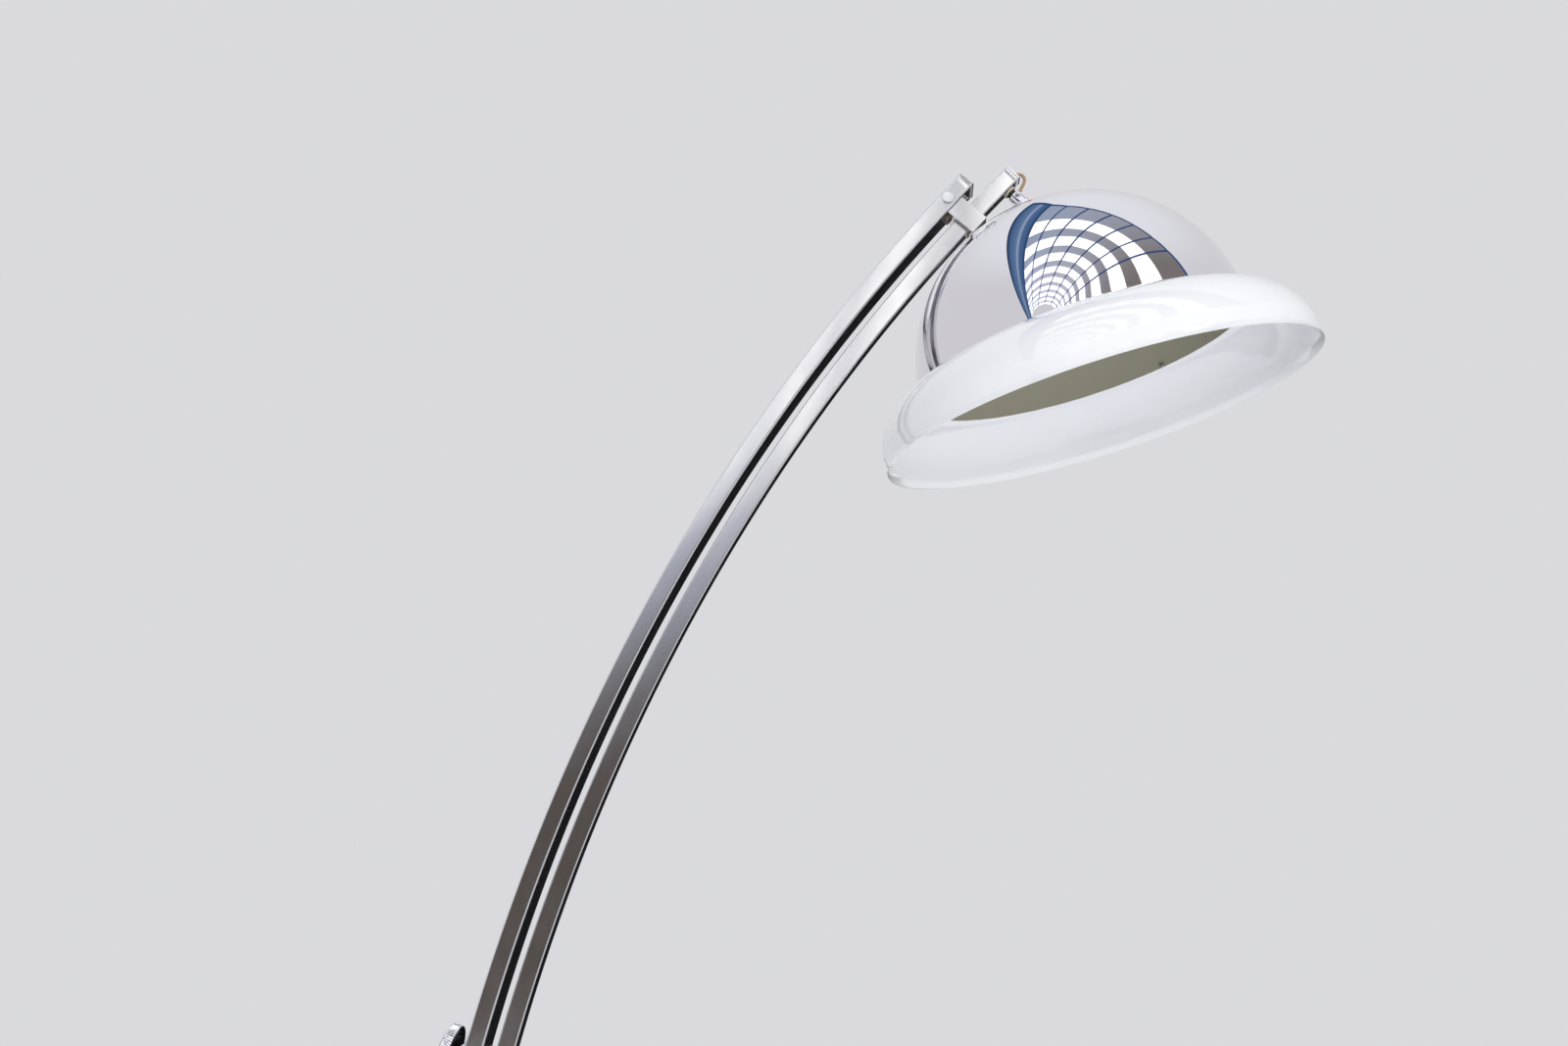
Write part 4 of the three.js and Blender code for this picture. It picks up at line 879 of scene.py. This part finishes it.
washer_edge = 0.6 * MM
washer = turned("swivel_nylon_washer", [
    (stud_radius + gap, gap), (washer_radius - washer_edge, gap),
    *bow((washer_radius - washer_edge, gap + washer_edge), washer_edge, -80, 0, 3),
    *bow((washer_radius - washer_edge, gap + washer_thickness - washer_edge), washer_edge, 0, 80, 3),
    (washer_radius - washer_edge, gap + washer_thickness), (stud_radius + gap, gap + washer_thickness),
], down_the_stud, sides=64)
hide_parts("swivel_washer")
settle(washer, "arm", "nylon", nylon)

nut_low, nut_high, nut_bevel = washer_thickness + 2 * gap, cup_top - gap, 0.7 * MM
lock_nut = turned("swivel_hex_lock_nut", [
    (stud_radius + gap, nut_low), (nut_corner - nut_bevel, nut_low), (nut_corner, nut_low + 0.4 * MM, 6),
    (nut_corner, nut_high - 0.4 * MM, 6), (nut_corner - nut_bevel, nut_high), (stud_radius + gap, nut_high),
], down_the_stud, sides=72, sharp=25)
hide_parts("swivel_lock_nut")
settle(lock_nut, "arm", "black_plastic", black_plastic)

lead_radius = 2 * MM
lead_route = [  # millimetres down the stud and along the arm
    (-10.6, -14), (-10.5, -5), (-9.7, 3), (-8.3, 9), (-8, 14), (-7.9, 18), (-7.2, 21.4), (-4.2, 24.4),
    (0, 25), (4, 22.8), (6.6, 18), (8.4, 12.4), (11.6, 7.6), (15.4, 5.6), (19.4, 5.4)]


def lead_tube(name, radius, sides=20, steps=8):
    """A round tube along the lead's route, which lies in the plane of the arc."""
    knots = [Vector((x, 0, z)) * MM for x, z in lead_route]
    knots = [2 * knots[0] - knots[1], *knots, 2 * knots[-1] - knots[-2]]
    line = []
    for a, b, c, d in zip(knots, knots[1:], knots[2:], knots[3:]):
        for step in range(steps):
            t = step / steps
            line.append(0.5 * (2 * b + (c - a) * t + (2 * a - 5 * b + 4 * c - d) * t ** 2
                               + (3 * b - a - 3 * c + d) * t ** 3))
    line.append(knots[-2])
    corners, faces = [], []
    for i, point in enumerate(line):
        ahead = (line[min(i + 1, len(line) - 1)] - line[max(i - 1, 0)]).normalized()
        out = ahead.cross(Vector((0, 1, 0)))
        for k in range(sides):
            angle = 2 * math.pi * k / sides
            spoke = math.cos(angle) * out + math.sin(angle) * Vector((0, 1, 0))
            corners.append(swivel_place @ (point + radius * spoke))
    for i in range(len(line) - 1):
        for k in range(sides):
            j = (k + 1) % sides
            faces.append([i * sides + k, i * sides + j, (i + 1) * sides + j, (i + 1) * sides + k])
    last = (len(line) - 1) * sides
    faces += [list(reversed(range(sides))), [last + k for k in range(sides)]]
    tube = mesh_object(name, corners, faces)
    work = bmesh.new()
    work.from_mesh(tube.data)
    bmesh.ops.recalc_face_normals(work, faces=work.faces)
    for face in work.faces:
        face.smooth = True
    work.to_mesh(tube.data)
    work.free()
    tube.data.set_sharp_from_angle(angle=math.radians(60))
    return tube


cup_outline = [
    (cup_radius - cup_wall, cup_top + 0.3 * MM), (cup_radius - cup_wall + 0.3 * MM, cup_top),
    (cup_radius - 0.5 * MM, cup_top), *bow((cup_radius - 0.5 * MM, cup_top + 0.5 * MM), 0.5 * MM, -70, 0, 3)]
flare_steps = 14
flare = [(cup_radius + (cup_mouth_radius - cup_radius) * (i / flare_steps) ** 1.6,
          cup_waist + (cup_mouth - 0.3 * MM - cup_waist) * i / flare_steps) for i in range(flare_steps + 1)]
cup_outline += flare + [(cup_mouth_radius - 0.3 * MM, cup_mouth), (cup_mouth_radius - cup_wall, cup_mouth)]
cup_outline += [(radius - cup_wall, height) for radius, height in reversed(flare)]
cup = turned("swivel_cup_shell", cup_outline, down_the_stud, sides=96)
screw_way = (swivel_place @ Matrix.Translation((cup_screw_at, 0, 0)) @ Matrix.Rotation(math.pi / 2, 4, "X"))
bored(cup, "screw hole", pin(cup_screw_radius + gap, cup_radius * 0.6, cup_radius * 1.3, screw_way))
bored(cup, "lead hole", lead_tube("lead way", lead_radius + 2 * gap))
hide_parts("swivel_cup")
settle(cup, "arm", "chrome_plate", chrome)
settle(from_cad("swivel_cup_screw", "swivel_cup_grub_screw", 0.15 * MM), "arm", "zinc_plated_steel", zinc)

shoulder = math.degrees(math.acos(neck_radius / ball_radius))
flange = cup_radius - cup_wall - gap
neck_low = swivel_drop - ball_radius * math.sin(math.radians(shoulder))
stud_seat, lead_bore = stud_end + gap, lead_radius + gap
ball_tip = math.degrees(math.acos(lead_bore / ball_radius))
ball = turned("swivel_ball_and_neck", [
    (0, stud_seat), (stud_radius + gap, stud_seat), (stud_radius + gap, neck_top + 0.3 * MM),
    (stud_radius + gap + 0.3 * MM, neck_top), (flange - 0.4 * MM, neck_top), (flange, neck_top + 0.4 * MM),
    (flange, neck_top + 2.0 * MM), (flange - 0.4 * MM, neck_top + 2.4 * MM),
    (neck_radius + 0.6 * MM, neck_top + 2.7 * MM), (neck_radius, neck_top + 3.4 * MM),
    (neck_radius, neck_low),
    *bow((0, swivel_drop), ball_radius, -shoulder + 2, ball_tip, 44),
    (lead_bore, stud_end + 3 * MM), (0, stud_end + 3 * MM),
], down_the_stud, sides=96, on_axis=True)
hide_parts("swivel_ball")
settle(ball, "swivel", "chrome_plate", chrome)

lead = lead_tube("brown_lead", lead_radius * 0.98)
# Soft PVC over two cores: brown, clear enough to glow a little, and glossy.
lead_cover = grained("brown clear soft PVC", "c39a78", "d3ad8c", 1.2 * MM, (0.18, 0.28), 0.03 * MM,
                     Subsurface_Weight=0.3, Subsurface_Scale=0.002, Transmission_Weight=0.1)
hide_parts("shade_lead")
settle(lead, "arm", "lead_cover", lead_cover)

# ---- Dome ----
# Steel sheet spun over a former, chromed outside, with a lacquer inside whose dim warm grey is partly painted
# shade of the dome's hollow.
shade_tilt = math.radians(14.66)
ball_centre = Vector(joints["shade_tilt"]["pos_m"])
shade_place = Matrix.Translation(ball_centre) @ Matrix.Rotation(-shade_tilt, 4, "Y")

dome_radius, dome_wall = 190 * MM, 1.2 * MM
ball_below_apex = 6 * MM
dome_centre = ball_below_apex - dome_radius
ball_hole = math.sqrt(ball_radius ** 2 - (ball_below_apex - dome_wall) ** 2) + ball_clearance
dome_inner = dome_radius - dome_wall
dome_outline = (
    bow((0, dome_centre), dome_radius, 0, math.degrees(math.acos(ball_hole / dome_radius)), 72)
    + bow((0, dome_centre), dome_inner, math.degrees(math.acos(ball_hole / dome_inner)), 0, 72))
dome = turned("dome_shell", dome_outline, shade_place, sides=192)
lacquer_and_painted_shade, tree = new_material("warm grey lacquer inside the dome")
position = add(tree, "ShaderNodeTexCoord").outputs["Object"]
orange_peel = add(tree, "ShaderNodeTexNoise", {"Vector": position, "Scale": 600.0, "Detail": 1.0})
relief = add(tree, "ShaderNodeBump",
             {"Height": orange_peel.outputs["Fac"], "Strength": 0.1, "Distance": 0.0003})
# The base colour's dim warm grey is partly painted shade of the dome's hollow.
surface(tree, "ShaderNodeBsdfPrincipled",
        {"Base Color": linear("a5a290"), "Roughness": 0.45, "Normal": relief.outputs["Normal"]})
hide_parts("dome")
settle(dome, "shade", "chrome_plate", chrome, lacquer_and_painted_shade)
dome_middle = shade_place @ Vector((0, 0, dome_centre))
for face in dome.data.polygons:
    face.material_index = 1 if face.normal.dot(face.center - dome_middle) < 0 else 0

# ---- Clip screws ----
# Three screws through the dome just above its rim carry the acrylic ring. Their heads are inside.
clip_out, clip_radius, clip_above_rim = 4 * MM, 2 * MM, 2.5 * MM
head_inner, head_radius, head_depth = -dome_wall - 4 * gap, 3.0 * MM, 2.4 * MM
clip_screw = turned("clip_screw", [
    (0, head_inner - head_depth + 1.2 * MM), (1.1 * MM, head_inner - head_depth + 1.2 * MM, 6),
    (1.1 * MM, head_inner - head_depth, 6), (1.7 * MM, head_inner - head_depth),
    (2.6 * MM, head_inner - 1.7 * MM), (head_radius, head_inner - 0.9 * MM), (head_radius, head_inner),
    (clip_radius, head_inner), (clip_radius, clip_out - 0.5 * MM), (clip_radius - 0.5 * MM, clip_out),
    (0, clip_out),
], Matrix.Rotation(math.pi / 2, 4, "Y"), sides=36, on_axis=True, sharp=30)
clip_screws = in_a_ring("ring_clip_screws", clip_screw, 3, dome_radius, math.radians(50), zinc,
                        shade_place @ Matrix.Translation((0, 0, dome_centre + clip_above_rim)))
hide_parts("ring_clip_screw_1", "ring_clip_screw_2", "ring_clip_screw_3")
settle(clip_screws, "shade", "zinc_plated_steel", zinc)

# ---- Acrylic ring ----
# Opal acrylic sheet, blown into a half hollow ring with a flared lip. It glows a little right
# through, is glossy outside, and hugs the dome just above its rim.
lip_radius, lip_below_rim = 250 * MM, 69 * MM
shoulder, waist_height, lip_flare, acrylic_wall = 65 * MM, 14 * MM, 2 * MM, 4 * MM
lip = dome_centre - lip_below_rim
wall_radius = lip_radius - lip_flare
shoulder_centre = (wall_radius - shoulder, lip + waist_height)
ring_bore = dome_radius + 0.3 * MM


def shoulder_bow(radius, flip):
    """The ring's rounded shoulder, from just above the waist to the bore, or back."""
    start, end = 7, math.degrees(math.acos((ring_bore - shoulder_centre[0]) / radius))
    return bow(shoulder_centre, radius, *((end, start) if flip else (start, end)), 30)


waist, waist_at, lip_edge = wall_radius - 1.5 * MM, 8 * MM, 0.7 * MM


def lip_bow(steps=10):
    """Heights above the lip and radii of the thin flare from the waist down to the lip."""
    flare = lip_radius - lip_edge - waist
    return [(waist_at * (1 - i / steps), waist + flare * (i / steps) ** 2) for i in range(steps + 1)]


def thinned(height):
    """The wall's thickness: the flare is drawn thinner towards its edge."""
    return 2 * lip_edge + (acrylic_wall - 2 * lip_edge) * (height / waist_at)


ring_outline = (
    [(radius - thinned(height), lip + lip_edge + height) for height, radius in lip_bow()]
    + [(lip_radius - lip_edge, lip)]
    + [(radius, lip + lip_edge + height) for height, radius in reversed(lip_bow())]
    + shoulder_bow(shoulder, False) + shoulder_bow(shoulder - acrylic_wall, True))
acrylic_ring = turned("acrylic_ring_shell", ring_outline, shade_place, sides=192)
acrylic, tree = new_material("opal acrylic sheet")
position = add(tree, "ShaderNodeTexCoord").outputs["Object"]
cloud = add(tree, "ShaderNodeTexNoise", {"Vector": position, "Scale": 6.0, "Detail": 2.0})
milk = blend(tree, cloud.outputs["Fac"], "f1f2f8", "f6f7fc")
draw = add(tree, "ShaderNodeBump", {"Height": cloud.outputs["Fac"], "Strength": 0.05, "Distance": 0.002})
surface(tree, "ShaderNodeBsdfPrincipled",
        {"Base Color": milk, "Roughness": 0.05, "IOR": 1.49, "Coat Weight": 0.6, "Coat Roughness": 0.03,
         "Subsurface Weight": 0.9, "Subsurface Radius": (1.0, 1.0, 1.1), "Subsurface Scale": 0.004,
         "Normal": draw.outputs["Normal"]})
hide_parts("acrylic_ring")
settle(acrylic_ring, "shade", "acrylic", acrylic)

# ---- Ball seat and bridge ----
# A machined ring holds the ball from inside the dome. Three screws pull it up, together with a bent
# sheet bridge that carries the lampholder below the ball.
seat_radius, seat_thickness, seat_bevel = 26 * MM, 8 * MM, 0.5 * MM
seat_top = ball_below_apex - dome_wall - seat_radius ** 2 / (2 * dome_radius) - 2 * gap
seat_bottom = seat_top - seat_thickness
grip = ball_radius + ball_clearance
bridge_wall = 2 * MM


def grip_bow(low, high, steps):
    """The seat's bore follows the ball, from one height to another."""
    start, end = math.degrees(math.asin(low / grip)), math.degrees(math.asin(high / grip))
    return bow((0, 0), grip, start, end, steps)


seat = turned("ball_seat_ring", [
    *grip_bow(seat_top, seat_bottom, 12), (seat_radius - seat_bevel, seat_bottom),
    (seat_radius, seat_bottom + seat_bevel), (seat_radius, seat_top - seat_bevel),
    (seat_radius - seat_bevel, seat_top),
], shade_place, sides=96)
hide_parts("ball_seat")
settle(seat, "shade", "zinc_plated_steel", zinc)
settle(from_cad("holder_bridge", "lampholder_bridge", 0.4 * MM), "shade", "zinc_plated_steel", zinc)

seat_screw = turned("seat_screw", [
    (0, -1.2 * MM), (1.3 * MM, -1.2 * MM, 6), (1.3 * MM, -2.6 * MM, 6), (2.7 * MM, -2.6 * MM),
    (3.3 * MM, -2.1 * MM), (3.6 * MM, -1.3 * MM), (3.6 * MM, 0), (2 * MM, 0), (2 * MM, 6 * MM), (0, 6 * MM),
], sides=36, on_axis=True, sharp=30)
seat_screws = in_a_ring(
    "seat_screws", seat_screw, 3, (seat_radius + ball_radius) / 2 + 0.5 * MM, math.pi / 2, zinc,
    shade_place @ Matrix.Translation((0, 0, seat_bottom - 2 * gap - bridge_wall)))
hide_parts("seat_screw_1", "seat_screw_2", "seat_screw_3")
settle(seat_screws, "shade", "zinc_plated_steel", zinc)

# ---- Lampholder and bulb ----
# A black screw lampholder hangs from a threaded brass nipple, and holds an opal bulb with a
# threaded brass cap.
bridge_below_ball = 6.88 * MM
plate_bottom = -ball_radius - bridge_below_ball - bridge_wall
holder_top = plate_bottom - gap
holder_radius, holder_length, holder_wall = 20 * MM, 50 * MM, 2 * MM
nipple_radius, nipple_wall, thread_pitch = 5 * MM, 1.2 * MM, 1.0 * MM
nipple_low, nipple_high = holder_top - 8 * MM, plate_bottom + bridge_wall + 7 * MM
nipple_outline = [(nipple_radius - nipple_wall, nipple_high), (nipple_radius - nipple_wall, nipple_low)]
for turn in range(int((nipple_high - nipple_low) / thread_pitch)):
    nipple_outline += [(nipple_radius - 0.4 * MM, nipple_low + turn * thread_pitch),
                       (nipple_radius, nipple_low + (turn + 0.5) * thread_pitch)]
nipple_outline.append((nipple_radius - 0.4 * MM, nipple_high))
# Free cutting brass, as turned: yellow and softly bright.
brass = grained("turned brass", "b08d4c", "c39f5d", 0.7 * MM, (0.22, 0.34), 0.02 * MM, Metallic=1.0)
nipple = turned("threaded_brass_nipple", nipple_outline, shade_place, sides=48, sharp=60)
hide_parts("holder_nipple")
settle(nipple, "shade", "brass", brass)

nut_foot = plate_bottom + bridge_wall + gap
nut_rise, nut_bore, nut_reach = 4 * MM, nipple_radius + gap, 8 * MM
nipple_nut = turned("brass_hex_nut", [
    (nut_bore, nut_foot), (nut_reach - 0.9 * MM, nut_foot), (nut_reach, nut_foot + 0.4 * MM, 6),
    (nut_reach, nut_foot + nut_rise - 0.4 * MM, 6), (nut_reach - 0.9 * MM, nut_foot + nut_rise),
    (nut_bore, nut_foot + nut_rise),
], shade_place, sides=72, sharp=25)
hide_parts("nipple_nut")
settle(nipple_nut, "shade", "brass", brass)

holder_bore, holder_low = holder_radius - holder_wall, holder_top - holder_length
groove_depth, groove_height = 0.6 * MM, 2 * MM
grooves = []
for step in range(3):
    level = holder_low + (8 + 6 * step) * MM
    grooves += [(holder_radius, level), (holder_radius - groove_depth, level + 0.3 * MM),
                (holder_radius - groove_depth, level + groove_height - 0.3 * MM),
                (holder_radius, level + groove_height)]
holder = turned("lampholder_shell", [
    (holder_bore, holder_low + 0.5 * MM), (holder_bore + 0.5 * MM, holder_low),
    (holder_radius - 0.8 * MM, holder_low), (holder_radius, holder_low + 0.8 * MM), *grooves,
    (holder_radius, holder_top - 12 * MM), (holder_radius - 2.6 * MM, holder_top - 7 * MM),
    (holder_radius - 7 * MM, holder_top - 0.3 * MM), (holder_radius - 7.6 * MM, holder_top),
    (nut_bore, holder_top), (nut_bore, holder_top - 4 * MM), (holder_radius - 9 * MM, holder_top - 4 * MM),
    (holder_bore, holder_top - 14 * MM),
], shade_place, sides=96)
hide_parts("lampholder")
settle(holder, "shade", "black_plastic", black_plastic)

# Glazed electrical porcelain: off white and glossy.
porcelain = grained("glazed porcelain", "e2dfd4", "ece9e0", 4 * MM, (0.1, 0.18), 0.03 * MM, Coat_Weight=0.5)
on_cad("lampholder_contact", porcelain)

cap_radius, cap_length, cap_pitch, cap_depth = 13 * MM, 26 * MM, 3.6 * MM, 20.5 * MM
cap_top = holder_top - cap_depth
cap_low = cap_top - cap_length
cap_steps, thread_depth = 60, 0.8 * MM
cap_outline = [(0, cap_low), (cap_radius - thread_depth, cap_low)]
for step in range(cap_steps + 1):
    height = cap_low + 0.5 * MM + (cap_length - 6 * MM) * step / cap_steps
    wave = 0.5 - 0.5 * math.cos(2 * math.pi * (height - cap_low) / cap_pitch)
    cap_outline.append((cap_radius - thread_depth * wave, height))
cap_outline += [(5 * MM, cap_top - 0.4 * MM), (4 * MM, cap_top), (0, cap_top)]
bulb_cap = turned("threaded_bulb_cap", cap_outline, shade_place, sides=96, on_axis=True)
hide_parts("bulb_cap")
settle(bulb_cap, "shade", "brass", brass)

glass_top = cap_low - gap
globe_radius, glass_length, neck_start = 30 * MM, 84 * MM, 35
globe = glass_top - glass_length + globe_radius
throat = Vector((globe_radius * math.cos(math.radians(neck_start)),
                 globe + globe_radius * math.sin(math.radians(neck_start))))
mouth = Vector((cap_radius - 0.3 * MM, glass_top))
pull = [throat + Vector((-8 * MM, 11 * MM)), mouth - Vector((-1 * MM, 14 * MM))]
neck_line = []
for step in range(1, 17):
    t = step / 16
    neck_line.append(tuple((1 - t) ** 3 * throat + 3 * t * (1 - t) ** 2 * pull[0]
                           + 3 * t ** 2 * (1 - t) * pull[1] + t ** 3 * mouth))
bulb = turned("opal_bulb_glass", [
    *bow((0, globe), globe_radius, -90, neck_start, 30), *neck_line, (0, glass_top),
], shade_place, sides=96, on_axis=True)
# Opal glass: milky right through under a fire-polished skin.
opal = grained("opal glass", "f4f2ea", "faf8f2", 9 * MM, (0.06, 0.12), 0.05 * MM,
               Subsurface_Weight=0.5, Subsurface_Scale=0.004)
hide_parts("bulb_glass")
settle(bulb, "shade", "opal_glass", opal)
